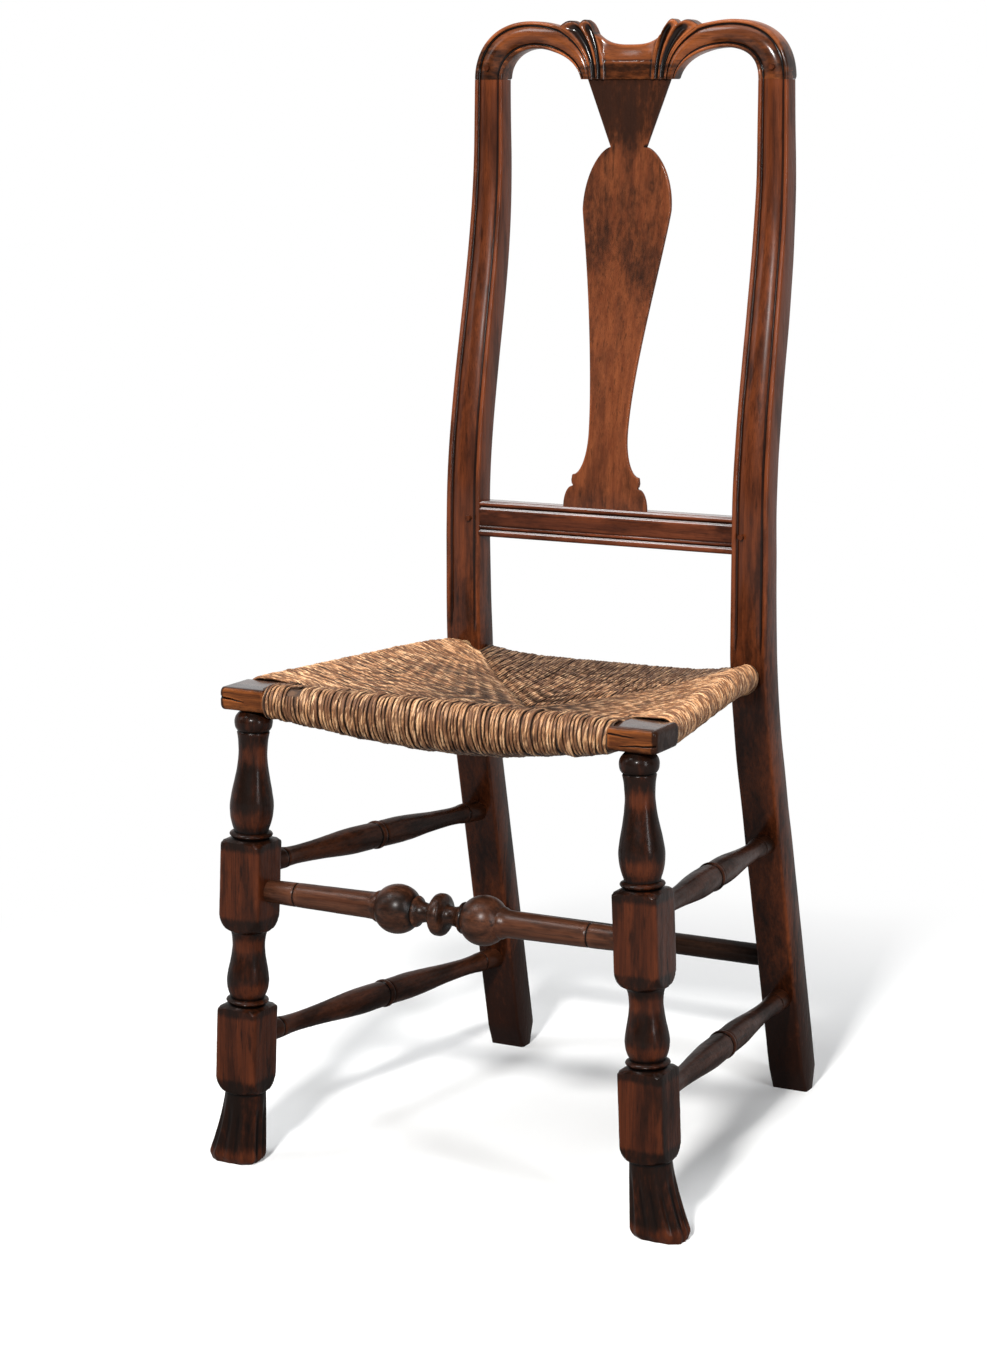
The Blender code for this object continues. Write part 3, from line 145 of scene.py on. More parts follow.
def mesh_from(name, vertices, faces):
    mesh = bpy.data.meshes.new(name)
    mesh.from_pydata(vertices, [], faces)
    shape = bmesh.new()
    shape.from_mesh(mesh)
    bmesh.ops.remove_doubles(shape, verts=shape.verts, dist=1e-6)
    bmesh.ops.recalc_face_normals(shape, faces=shape.faces)
    shape.to_mesh(mesh)
    shape.free()
    return mesh


def skin(name, rings):
    """A closed body through rings of equally many points, with flat ends."""
    count = len(rings[0])
    vertices = [tuple(point) for ring in rings for point in ring]
    faces = [tuple(range(count)), tuple(range(len(vertices) - count, len(vertices)))]
    for r in range(len(rings) - 1):
        for i in range(count):
            j = (i + 1) % count
            faces.append((r * count + i, r * count + j, (r + 1) * count + j, (r + 1) * count + i))
    return mesh_from(name, vertices, faces)


def mark_age(mesh, soot_and_shading, rounds):
    """Stores on each point how hollow the surface is there, in 1/m: dirt gathers where it is above zero,
    and edges that hands and shoes rub are below zero. The function given runs from -1, rubbed clean, to 1,
    grown black; on the crest it also holds painted light below zero and painted shade above it."""
    count = len(mesh.vertices)
    place = np.empty(count * 3)
    mesh.vertices.foreach_get("co", place)
    place = place.reshape(-1, 3)
    normal = np.empty(count * 3)
    mesh.vertex_normals.foreach_get("vector", normal)
    normal = normal.reshape(-1, 3)
    pairs = np.empty(len(mesh.edges) * 2, dtype=np.int64)
    mesh.edges.foreach_get("vertices", pairs)
    pairs = pairs.reshape(-1, 2)
    ends = np.concatenate((pairs, pairs[:, ::-1]))
    step = place[ends[:, 1]] - place[ends[:, 0]]
    length = np.maximum((step ** 2).sum(1), 1e-9)
    bend = 2 * (step * normal[ends[:, 0]]).sum(1) / length
    neighbours = np.maximum(np.bincount(ends[:, 0], minlength=count), 1)
    hollow = np.bincount(ends[:, 0], weights=bend, minlength=count) / neighbours
    hollow = np.clip(hollow, -900, 900)
    for _ in range(rounds):
        around = np.bincount(ends[:, 0], weights=hollow[ends[:, 1]], minlength=count) / neighbours
        hollow = 0.5 * hollow + 0.5 * around
    mesh.attributes.new("hollow", "FLOAT", "POINT").data.foreach_set("value", hollow)
    black = [min(1.0, max(-1.0, soot_and_shading(*spot))) for spot in place.tolist()]
    mesh.attributes.new("soot_and_shading", "FLOAT", "POINT").data.foreach_set("value", black)


def plug(tree, node, inputs):
    """Gives each named input of a node its value, or links it to another node's output."""
    for key, value in inputs.items():
        if isinstance(value, bpy.types.NodeSocket):
            tree.links.new(value, node.inputs[key])
        else:
            node.inputs[key].default_value = value


def add(tree, kind, inputs=None, **settings):
    """Adds a shader or geometry node with its settings and inputs."""
    node = tree.nodes.new(kind)
    for key, value in settings.items():
        setattr(node, key, value)
    plug(tree, node, inputs or {})
    return node


def grade(tree, value, low, high, start=0.0, stop=1.0):
    """Maps a value from low..high to start..stop, smoothly and clamped."""
    ends = {"From Min": low, "From Max": high, "To Min": start, "To Max": stop}
    node = add(tree, "ShaderNodeMapRange", {"Value": value, **ends}, interpolation_type="SMOOTHSTEP")
    return node.outputs["Result"]


def sums(tree, how, a, b):
    return add(tree, "ShaderNodeMath", {0: a, 1: b}, operation=how).outputs[0]


def weighed(tree, *parts):
    """The sum of (value, weight) parts."""
    total, *rest = [sums(tree, "MULTIPLY", value, weight) for value, weight in parts]
    for part in rest:
        total = sums(tree, "ADD", total, part)
    return total


def tint(color, strength=1.0):
    return (*[share * strength for share in color], 1)


def mix(tree, amount, a, b):
    """Mixes two colours by an amount from 0 to 1."""
    return add(tree, "ShaderNodeMix", {0: amount, 6: a, 7: b}, data_type="RGBA").outputs[2]


def layered(tree, color, layers):
    """Lays (amount, colour) coats over a colour, one after another."""
    for amount, coat in layers:
        color = mix(tree, amount, color, coat)
    return color


def cloudy(tree, place, scale, detail, roughness=0.6):
    return add(tree, "ShaderNodeTexNoise", {"Vector": place, "Scale": scale, "Detail": detail,
                                            "Roughness": roughness}).outputs["Fac"]


def stored(tree, name, kind="Fac"):
    """What is stored under a name on the points of a mesh."""
    return add(tree, "ShaderNodeAttribute", attribute_name=name).outputs[kind]


def on_object(tree):
    return add(tree, "ShaderNodeTexCoord").outputs["Object"]


def new_material(name):
    """An empty material, with its nodes and its main shader."""
    material = bpy.data.materials.new(name)
    material.use_nodes = True
    return material, material.node_tree, material.node_tree.nodes["Principled BSDF"]


def stained_wood(name, grain, deep, body, warm, grime=0.5, wear=0.5, packed=0.97, gloss=0.10,
                 satin=0.15, seed=0.0):
    """Old stained and waxed wood: streaked along the grain, black where polish and dirt have packed into
    hollows, and rubbed through to a warm orange on its edges."""
    material, tree, shader = new_material(name)
    place = on_object(tree)

    def streaks(across, along, detail, shift):
        """Noise drawn out along the grain: so many streaks to the metre across it, and along it."""
        scale = [across] * 3
        scale["XYZ".index(grain)] = along
        start = seed + shift
        moved = add(tree, "ShaderNodeMapping", {"Vector": place, "Scale": scale,
                                                "Location": (start, start * 2, start * 3)})
        return cloudy(tree, moved.outputs[0], 1.0, detail)

    figure = streaks(190, 9, 4, 0)
    fibre = streaks(640, 15, 4, 4)
    cloud = streaks(60, 11, 5, 9)
    stain = streaks(150, 20, 4, 14)
    dents = streaks(210, 120, 2, 20)
    mottle = streaks(260, 110, 4, 27)
    # The stored soot grows the wood black and, below zero, rubs it through to orange; on the crest it also
    # carries painted shade and painted light.
    soot_and_shading = stored(tree, "soot_and_shading")
    clean_and_painted_light = sums(tree, "MULTIPLY", sums(tree, "MINIMUM", soot_and_shading, 0.0), 120.0)
    hollow = sums(tree, "ADD", stored(tree, "hollow"), clean_and_painted_light)
    rubbed_and_painted_light = sums(tree, "MULTIPLY", grade(tree, hollow, -14, -150, 0.0, wear),
                  grade(tree, cloud, 0.64, 0.44, 0.30, 1.0))
    uneven = sums(tree, "SUBTRACT", weighed(tree, (cloud, 1.0), (figure, 0.5), (mottle, 0.9)), 1.2)
    grown_and_painted_shade = sums(tree, "ADD", soot_and_shading, uneven)
    tone = grade(tree, weighed(tree, (figure, 0.60), (fibre, 0.40)), 0.36, 0.64)
    aged = [blend(d, b, 0.25) for d, b in zip(deep, body)]
    color = layered(tree, mix(tree, tone, tint(body), tint(warm)), (
        (grade(tree, cloud, 0.44, 0.68, 0.0, 0.25 + grime), tint(aged)),
        (grade(tree, stain, 0.58, 0.70, 0.0, 0.20 + 0.8 * grime), tint(deep, 0.7)),
        (grade(tree, fibre, 0.55, 0.66, 0.0, 0.55), tint(deep, 0.8)),
        (rubbed_and_painted_light, tint(warm, 1.5)),
        (grade(tree, grown_and_painted_shade, 0.15, 0.90, 0.0, 0.92), tint(deep)),
        (grade(tree, hollow, 12, 120, 0.0, packed), tint(deep, 0.25))))
    rough = sums(tree, "ADD", grade(tree, cloud, 0.35, 0.68, 0.34, 0.56), sums(tree, "MULTIPLY", fibre, 0.06))
    shallow = add(tree, "ShaderNodeBump", {"Height": dents, "Strength": 0.35, "Distance": 0.0012})
    relief = add(tree, "ShaderNodeBump", {"Height": fibre, "Strength": 0.35, "Distance": 0.0004,
                                          "Normal": shallow.outputs[0]})
    plug(tree, shader, {"Base Color": color, "Roughness": rough, "Normal": relief.outputs[0],
                        "Specular IOR Level": 0.04, "Coat Weight": gloss, "Coat Roughness": satin})
    return material


def put(name, data):
    """Puts a mesh, lamp or lens into the scene as an object at the origin."""
    thing = bpy.data.objects.new(name, data)
    bpy.context.scene.collection.objects.link(thing)
    return thing


def add_piece(name, mesh, material, node, soot_and_shading=None, rounds=5):
    """Puts a finished mesh into the scene in the place of its CAD node, shaded smooth but for hard edges.
    Wood that shows is aged by the function given, which on the crest also gives painted shade and painted
    light."""
    if soot_and_shading:
        mark_age(mesh, soot_and_shading, rounds)
    mesh.shade_smooth()
    mesh.set_sharp_from_angle(angle=radians(48))
    mesh.materials.append(material)
    piece = put(name, mesh)
    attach(piece, "root")
    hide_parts(node)


def leg_turning():
    """(depth, lathe radius) pairs of a leg from its top bead down to the ankle."""
    rows = [(leg_top - down, radius) for down, radius in LEG_BEAD]
    tops = (leg_top - LEG_BEAD_HEIGHT, LEG_BLOCKS[0][1] - LEG_LIP_DROP)
    full = LEG_SQUARE / sqrt(2)
    for top, (lip, neck, belly), (block_top, block_bottom) in zip(tops, LEG_VASES, LEG_BLOCKS):
        ring = block_top + LEG_RING_RISE
        vase = ((0.0, lip), (0.08, blend(lip, neck, 0.7)), (0.20, neck), (0.33, blend(neck, belly, 0.14)),
                (0.46, blend(neck, belly, 0.42)), (0.60, blend(neck, belly, 0.78)), (0.74, belly),
                (0.84, blend(belly, LEG_VASE_FOOT, 0.16)), (0.92, blend(belly, LEG_VASE_FOOT, 0.55)),
                (1.0, LEG_VASE_FOOT - 0.0002))
        rows += [(blend(top, ring, t), radius) for t, radius in vase]
        rows += [(ring - down, radius) for down, radius in LEG_RING]
        waist = LEG_ANKLE_RADIUS if block_bottom == FOOT_TOP else LEG_WAIST_RADIUS
        for turn in [t * pi / 2 for t in (0.0, 0.35, 0.65, 1.0)]:
            rows.append((block_top - LEG_BLOCK_SHOULDER * (1 - cos(turn)),
                         blend(LEG_SHOULDER_RADIUS, full * 1.06, sin(turn))))
        for turn in [t * pi / 2 for t in (1.0, 0.75, 0.5, 0.25, 0.08, 0.0)]:
            rows.append((block_bottom + LEG_BLOCK_TAPER * (1 - cos(turn)),
                         blend(waist, full * 0.985, sin(turn))))
    return sorted((-z, radius) for z, radius in rows)


def squareness(turn, power):
    """What a half width is divided by to reach the side of a rounded square, sharper with a higher power."""
    return (abs(cos(turn)) ** power + abs(sin(turn)) ** power) ** (1 / power)


def leg_mesh(name, side):
    """Built upright round its own axis with uneven hand work, then splayed. The sole lies on the floor."""
    turning = leg_turning()
    splay = atan(LEG_SPLAY)
    turns = [2 * pi * i / LEG_SIDES for i in range(LEG_SIDES)]
    tenon = [(LEG_TENON_RADIUS * cos(turn), LEG_TENON_RADIUS * sin(turn)) for turn in turns]
    rings = [[(x, y, z) for x, y in tenon] for z in (LEG_TENON_LENGTH, -HAIRLINE)]
    for depth in fine_steps([d for d, _ in turning], LEG_STEP):
        radius = through(turning, depth)
        ring = []
        for turn in turns:
            reach = min(radius, LEG_SQUARE / 2 / squareness(turn, LEG_CORNER_POWER))
            spot = Vector((side * 3 + cos(turn) * 0.9, sin(turn) * 0.9, depth * 40))
            reach += waver(0.00022, *spot) + waver(0.00010, *(spot * 3.7))
            ring.append((reach * cos(turn), reach * sin(turn), (-depth - leg_top) / cos(splay)))
        rings.append(ring)
    for height in fine_steps([FOOT_TOP * 0.985, FOOT_TOE_HEIGHT, FOOT_SOLE_HEIGHT, 0.0], FOOT_STEP)[::-1]:
        rings.append([(x, y, (z - leg_top) / cos(splay)) for x, y, z in foot_ring(side, height, turns)])
    rings[-1] = [(x, y, (-leg_top - side * sin(splay) * x) / cos(splay)) for x, y, _ in rings[-1]]
    mesh = skin(name, rings)
    axis = Vector((side * leg_x, leg_y, leg_top))
    mesh.transform(Matrix.Translation(axis) @ Matrix.Rotation(-side * splay, 4, "Y"))
    return mesh


def foot_ring(side, height, turns):
    """A level section of the brush foot: it flares outward to the floor, gouged with flutes that widen
    downward, and the toe rounds under at the sole."""
    down = 1 - height / FOOT_TOP
    flare = FOOT_FLARE * down ** 1.5
    under = FOOT_TOE_ROUNDING * max(0.0, 1 - height / FOOT_TOE_HEIGHT) ** 2
    half_x = LEG_ANKLE_RADIUS + flare / 2 - under
    half_y = LEG_ANKLE_RADIUS - under
    groove = FOOT_FLUTE_DEPTH / LEG_ANKLE_RADIUS * smoothstep(down * 2.2)
    groove *= blend(0.45, 1.0, smoothstep(height / 0.016))
    ring = []
    for turn in turns:
        drift = waver(0.22, side * 5, 4 * cos(turn), 4 * sin(turn))
        gouge = (0.5 - 0.5 * cos(FOOT_FLUTES * turn + drift)) ** 0.8
        reach = (1 - groove * gouge) / squareness(turn, 2 + 1.2 * down)
        ring.append((side * flare / 2 + half_x * reach * cos(turn), half_y * reach * sin(turn), height))
    return ring


def leg_soot(x, y, z):
    """The turnings are blackest but for bands rubbed red at the necks and under the bellies, the faces of
    the blocks keep their stain, and the toes are scuffed bare."""
    on_block = max(smoothstep(min(top - 0.006 - z, z - bottom - 0.010) / 0.006) for top, bottom in LEG_BLOCKS)
    bands = 0.0
    for top, (block_top, _) in zip((leg_top - LEG_BEAD_HEIGHT, LEG_BLOCKS[0][1]), LEG_BLOCKS):
        t = (top - z) / (top - block_top - LEG_RING_RISE)
        bands = max(bands, near(t, 0.22, 0.09), 0.9 * near(t, 0.86, 0.08))
    toe = smoothstep((0.020 - z) / 0.016)
    return blend(0.78 - 0.74 * bands, 0.22, on_block) - 0.60 * toe


leg_wood = stained_wood("leg_wood", "Z", (0.0040, 0.0017, 0.0009), (0.0306, 0.0074, 0.0029),
                        (0.0651, 0.0153, 0.0050), grime=0.60, wear=0.50, gloss=0.15, satin=0.20, seed=1.0)
for word, side in SIDES:
    name = f"{word}_leg"
    add_piece(name, leg_mesh(name, side), leg_wood, f"{word}_front_leg", leg_soot)

# STILES
# Each stile is a rear leg and back upright in one: sawn to an S from a thick plank, shaved smooth, and
# run with a bead and groove along both edges of its front above the seat. The crest sits on its tenon.

STILE_WIDTHS = ((0.0, 0.0365), (0.4475, 0.0371), (0.546, 0.0371), (0.981, 0.0300))
STILE_DEPTHS = ((0.0, 0.0350), (0.4475, 0.0305), (0.563, 0.0265), (0.781, 0.0298), (0.981, 0.0225))
STILE_FOOT_SPREAD = 0.0065
STILE_BACK_LEAN = 0.047
STILE_LEAN_START = 0.0055
STILE_LEAN_END = 0.061
STILE_FOOT_SETBACK = 0.1038
STILE_BEND = 0.150
STILE_BEND_TOP = 0.490
STILE_EASE = 0.0045
STILE_STEP = 0.005
STILE_TENON = 0.008
HEEL_HEIGHT = 0.022
HEEL_CHAMFER = 0.012
TOE_CHAMFER = 0.004
MOULDING = ((0.0, 1.10), (0.012, 0.50), (0.035, 0.15), (0.065, 0.05), (0.095, 0.12), (0.118, 0.38),
            (0.135, 0.80), (0.150, 1.08), (0.165, 1.16), (0.182, 1.10), (0.21, 0.90), (0.245, 0.68),
            (0.29, 0.46), (0.36, 0.21), (0.43, 0.06), (0.5, 0.0))
MOULDING_DEPTH = 0.0026
MOULDING_RUN_IN = 0.030
MOULDING_STEP = 0.022
BEAD_TOP = 0.065
SPLAT_TENON = 0.008
STAY_TENON = 0.020
SIDE_RAIL_TENON = 0.0177
across_moulding = fine_steps([u for u, _ in MOULDING] + [1 - u for u, _ in MOULDING], MOULDING_STEP)
joint_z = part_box("splat")[1].z - SPLAT_TENON
stay_bottom, stay_top = [corner.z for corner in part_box("stay_rail")]
stile_inner_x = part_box("stay_rail")[1].x - STAY_TENON
stile_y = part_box("left_seat_rail")[1].y - SIDE_RAIL_TENON


def straight(points, x):
    """Straight lines through (x, value) points."""
    for (x0, v0), (x1, v1) in zip(points, points[1:]):
        if x <= x1:
            return blend(v0, v1, max(0.0, (x - x0) / (x1 - x0)))
    return points[-1][1]


def quarter(steps):
    """Turns from nothing to a right angle, both included."""
    return [i / steps * pi / 2 for i in range(steps + 1)]


def stile_front(z):
    """Y of a stile's front face at height z: raked back below the seat, leaning back above the stay rail."""
    drop = max(0.0, STILE_BEND_TOP - z)
    bend = min(drop, STILE_BEND)
    rake = STILE_FOOT_SETBACK / (STILE_BEND_TOP - STILE_BEND / 2)
    start = stay_top - STILE_LEAN_START
    lean = (z - start) / (joint_z - STILE_LEAN_END - start)
    raked = rake * (bend * bend / (2 * STILE_BEND) + drop - bend)
    return stile_y + raked + STILE_BACK_LEAN * smoothstep(lean)


def stile_inner(z):
    return stile_inner_x + STILE_FOOT_SPREAD * max(0.0, 1 - z / seat_height)


def moulding(u):
    """Depth below the face of the run moulding, at u from 0 to 1 across it."""
    return MOULDING_DEPTH * through(MOULDING, min(u, 1 - u))


def eased_back(top, bottom, back, ease, steps):
    """The two back corners of a section, rounded, from one edge of it to the other."""
    out = []
    for edge, way, turns in ((top, -1, quarter(steps)), (bottom, 1, quarter(steps)[::-1])):
        out += [(edge + way * ease * (1 - cos(turn)), back - ease * (1 - sin(turn))) for turn in turns]
    return out


def stile_ring(side, z):
    inner = stile_inner(z)
    outer = inner + straight(STILE_WIDTHS, z)
    front = stile_front(z)
    back = front + through(STILE_DEPTHS, z)
    if z < HEEL_HEIGHT:
        back -= HEEL_CHAMFER * (1 - z / HEEL_HEIGHT)
        front += TOE_CHAMFER * (1 - z / HEEL_HEIGHT)
    run = smoothstep((z - seat_height) / MOULDING_RUN_IN)
    ring = []
    for u in across_moulding:
        worn = 0.0016 * (1 - min(1.0, min(u, 1 - u) / 0.055)) ** 2
        ring.append((blend(inner, outer, u), front + blend(worn, moulding(u), run)))
    ring += eased_back(outer, inner, back, STILE_EASE, 6)
    wave = [waver(0.00022, x * 60 + side * 7, y * 60, z * 22) for x, y in ring]
    return [(side * (x + w), y + w, z) for (x, y), w in zip(ring, wave)]


def stile_mesh(name, side):
    shoulder = joint_z - HAIRLINE
    levels = fine_steps([0.0, HEEL_HEIGHT, seat_height, seat_height + MOULDING_RUN_IN, shoulder], STILE_STEP)
    rings = [stile_ring(side, z) for z in levels]
    top = rings[-1]
    middle = Vector(np.mean(top, axis=0))
    for z in (shoulder, joint_z + STILE_TENON):
        rings.append([(blend(middle.x, x, 0.98), blend(middle.y, y, 0.60), z) for x, y, _ in top])
    return skin(name, rings)


def stile_soot(x, y, z):
    """Darkest at the floor, round the seat and on the back, and cleanest at the shoulders."""
    low = 0.60 * (1 - smoothstep(z / 0.20)) + 0.44 * (1 - smoothstep((z - 0.34) / 0.30))
    seat = 0.16 * near(z, seat_height + 0.02, 0.06)
    behind = 0.16 * smoothstep((y - stile_front(z) - 0.004) / 0.01)
    return 0.04 + low + seat + behind


stile_wood = stained_wood("stile_wood", "Z", (0.0085, 0.0023, 0.0009), (0.0465, 0.0112, 0.0038),
                          (0.1028, 0.0245, 0.0072), grime=0.50, wear=0.60, packed=0.82, gloss=0.26, seed=31.0)
for word, side in SIDES:
    name = f"{word}_upright"
    add_piece(name, stile_mesh(name, side), stile_wood, f"{word}_stile", stile_soot)

# SEAT RAILS
# The front rail runs between two square corner blocks, left showing beside the rush and worn by hands
# and knees. The side and rear rails are plain rods of bare wood, wholly wrapped in rush.

BLOCK_LENGTH = 0.046
BLOCK_EASE = 0.0040
BLOCK_STEPS = 42
ROD_HALVES = (0.0145, 0.0082)
CRACKS = ((-0.2150, 0.0012, -0.1890, -0.0018, 0.0024), (0.2140, -0.0030, 0.1800, -0.0052, 0.0016),
          (0.1700, 0.0046, 0.1960, 0.0030, 0.0010))
block_inner = seat_high.x - BLOCK_LENGTH
block_y = (seat_low.y + seat_high.y) / 2
block_z = (seat_low.z + seat_high.z) / 2
block_half_y = (seat_high.y - seat_low.y) / 2
block_half_z = (seat_high.z - seat_low.z) / 2


def crack_depth(x, z):
    """Drying cracks in the front faces of the blocks, each widest at its start."""
    deepest = 0.0
    for x0, z0, x1, z1, depth in CRACKS:
        t = (x - x0) / (x1 - x0)
        if 0 <= t <= 1:
            line = blend(z0, z1, t) + waver(0.0006, x * 160, z0 * 900, 0)
            deepest = max(deepest, depth * (1 - t) ** 0.6 * near(z, line, blend(0.0010, 0.0004, t)))
    return deepest


def rail_section(x, middle_y, half_y, half_z):
    """Rounded rectangle across X, a little uneven where it shows."""
    ease = min(BLOCK_EASE, half_y * 0.6, half_z * 0.6)
    corners = []
    for corner, (sy, sz) in enumerate(((1, 1), (-1, 1), (-1, -1), (1, -1))):
        turns = [(corner + i / 6) * pi / 2 for i in range(7)]
        corners.append([(sy * (half_y - ease) + ease * cos(turn), sz * (half_z - ease) + ease * sin(turn))
                        for turn in turns])
    ring = []
    for corner, count in enumerate((12, 28, 12, 12)):
        (y0, z0), (y1, z1) = corners[corner][-1], corners[(corner + 1) % 4][0]
        ring += corners[corner]
        ring += [(blend(y0, y1, i / count), blend(z0, z1, i / count)) for i in range(1, count)]
    out = []
    for y, z in ring:
        worn = 1 - 0.010 * (1 + waver(1.0, x * 55, y * 70, z * 70))
        cut = crack_depth(x, z) if y < 0.002 - half_y else 0.0
        out.append((x, middle_y + y * worn + cut, block_z + z * worn))
    return out


def front_rail_mesh(name):
    end = seat_high.x
    half = []
    for turn in quarter(8):
        shrink = BLOCK_EASE * (1 - sin(turn))
        x = end - BLOCK_EASE * (1 - cos(turn))
        half.append((x, block_y, block_half_y - shrink, block_half_z - shrink))
    for i in range(1, BLOCK_STEPS + 1):
        x = blend(end - BLOCK_EASE, block_inner + 0.0012, i / BLOCK_STEPS)
        half.append((x, block_y, block_half_y, block_half_z))
    half += [(block_inner + 0.0003, block_y, block_half_y - 0.0008, block_half_z - 0.0008),
             (block_inner, leg_y, *ROD_HALVES)]
    rows = half + [(-x, *size) for x, *size in reversed(half)]
    return skin(name, [rail_section(*row) for row in rows])


def wax_upward(mesh, wood, slope):
    """Gives the faces that look up, those with a normal steeper than the slope, a wood of their own."""
    mesh.materials.append(wood)
    for face in mesh.polygons:
        face.material_index = 1 if face.normal.z > slope else 0


def stain_solids(wood, *nodes):
    """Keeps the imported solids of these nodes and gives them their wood."""
    for node in nodes:
        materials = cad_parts[node].data.materials
        materials.clear()
        materials.append(wood)


def block_soot(x, y, z):
    """Black end grain and a grimy top, darker towards the bottom, with the front rubbed clean by knees."""
    end = smoothstep((abs(x) - seat_high.x + 0.006) / 0.004)
    top = smoothstep((z - seat_high.z + 0.003) / 0.003)
    low = smoothstep((block_z - 0.001 - z) / 0.008)
    return 0.14 + 0.95 * end + 0.55 * top + 0.40 * low


block_wood = stained_wood("block_wood", "X", (0.0049, 0.0015, 0.0007), (0.0494, 0.0126, 0.0037),
                          (0.1481, 0.0445, 0.0114), grime=0.62, wear=0.60, gloss=0.10, seed=52.0)
block_top_wood = stained_wood("block_top_wood", "X", (0.0140, 0.0063, 0.0042), (0.0490, 0.0161, 0.0077),
                              (0.0910, 0.0322, 0.0147), grime=0.45, wear=0.40, gloss=0.75, seed=52.0)
mesh = front_rail_mesh("corner_blocks")
add_piece("corner_blocks", mesh, block_wood, "front_seat_rail", block_soot)
wax_upward(mesh, block_top_wood, 0.9)

BARE = ((0.060, 0.030, 0.014), (0.260, 0.150, 0.075), (0.340, 0.210, 0.110))
bare_wood = stained_wood("bare_rail_wood", "X", *BARE, grime=0.3, wear=0.2, seed=60.0)
bare_side_wood = stained_wood("bare_side_rail_wood", "Y", *BARE, grime=0.3, wear=0.2, seed=64.0)
stain_solids(bare_wood, "rear_seat_rail")
stain_solids(bare_side_wood, "left_seat_rail", "right_seat_rail")

# STRETCHERS
# Turned sticks driven into round sockets. The front one has two balls either side of a thin disc, the
# side ones swell to a ringed middle, and the plain rear one ties the stiles. Thin lines are cut round them.

STRETCHER_SIDES = 64
STRETCHER_STEP = 0.0022
STRETCHER_TENON = 0.012


def stile_middle(side, z):
    x = side * (stile_inner(z) + straight(STILE_WIDTHS, z) / 2)
    return Vector((x, stile_front(z) + through(STILE_DEPTHS, z) / 2, z))


def leg_axis(side, z):
    return Vector((side * (leg_x + LEG_SPLAY * (leg_top - z)), leg_y, z))


def cut_line(distance, radius, depth=0.0009, width=0.0011):
    """Turning rows of a thin V line cut round a stick."""
    return [(distance + width * t, radius - depth * cut)
            for t, cut in ((-1, 0), (-0.35, 0.7), (0, 1), (0.35, 0.7), (1, 0))]


def turned_mesh(name, half, start, stop, seed):
    """A stick along start to stop, turned the same both ways from (distance from its middle, radius) rows."""
    rows = {round(-d, 6): r for d, r in half}
    rows.update({round(d, 6): r for d, r in half})
    rows = sorted(rows.items())
    rings = []
    for d in fine_steps([d for d, _ in rows], STRETCHER_STEP):
        radius = through(rows, d)
        ring = []
        for i in range(STRETCHER_SIDES):
            turn = 2 * pi * i / STRETCHER_SIDES
            spot = Vector((cos(turn) * 0.8 + seed, sin(turn) * 0.8, d * 45))
            reach = radius * (1 + waver(0.012, *spot)) + waver(0.00008, *(spot * 4))
            ring.append((reach * cos(turn), reach * sin(turn), d))
        rings.append(ring)
    mesh = skin(name, rings)
    turn_to = (stop - start).to_track_quat("Z", "Y").to_matrix().to_4x4()
    mesh.transform(Matrix.Translation((start + stop) / 2) @ turn_to)
    return mesh


def front_stretcher_soot(x, y, z):
    """Black round the disc and at the legs, and rubbed between them."""
    return 0.10 + 0.45 * smoothstep((abs(x) - 0.14) / 0.05) + 0.6 * near(x, 0, 0.070)


FRONT_STRETCHER_HEIGHT = 0.2597
FRONT_DISC = ((0.0, 0.0190), (0.0022, 0.0189), (0.0038, 0.0182), (0.0052, 0.0166), (0.0060, 0.0140),
              (0.0066, 0.0108), (0.0090, 0.0090), (0.0118, 0.0085), (0.0150, 0.0087), (0.0180, 0.0096),
              (0.0208, 0.0114), (0.0218, 0.0134), (0.0231, 0.0141), (0.0240, 0.0133))
BALL = 0.0223
BALL_OFFSET = 0.0430
BALL_TURNS = (-0.30, -0.25, -0.20, -0.14, -0.07, 0.0, 0.07, 0.14, 0.20, 0.25, 0.285)
BALL_NECK = ((0.88, 0.0142), (0.99, 0.0129), (1.15, 0.0122), (1.4, 0.0120))
FRONT_STRETCHER_END = 0.0104
stretcher_wood = stained_wood("stretcher_wood", "X", (0.0032, 0.0016, 0.0009), (0.0337, 0.0109, 0.0054),
                              (0.0773, 0.0277, 0.0136), grime=0.55, wear=0.60, gloss=0.22, satin=0.30,
                              seed=75.0)
left_end = leg_axis(-1, FRONT_STRETCHER_HEIGHT) + Vector((LEG_SQUARE / 2, 0, 0))
right_end = leg_axis(1, FRONT_STRETCHER_HEIGHT) - Vector((LEG_SQUARE / 2, 0, 0))
reach = (right_end - left_end).length / 2
half = [*FRONT_DISC]
half += [(BALL_OFFSET + BALL * sin(t * pi), BALL * cos(t * pi)) for t in BALL_TURNS]
half += [(BALL_OFFSET + BALL * share, radius) for share, radius in BALL_NECK]
half += [(reach - 0.052, 0.0113), *cut_line(reach - 0.030, 0.0109), (reach, FRONT_STRETCHER_END),
         (reach + STRETCHER_TENON, FRONT_STRETCHER_END)]
mesh = turned_mesh("front_stretcher_turned", half, left_end, right_end, 1.5)
add_piece("front_stretcher_turned", mesh, stretcher_wood, "front_stretcher",
          front_stretcher_soot)

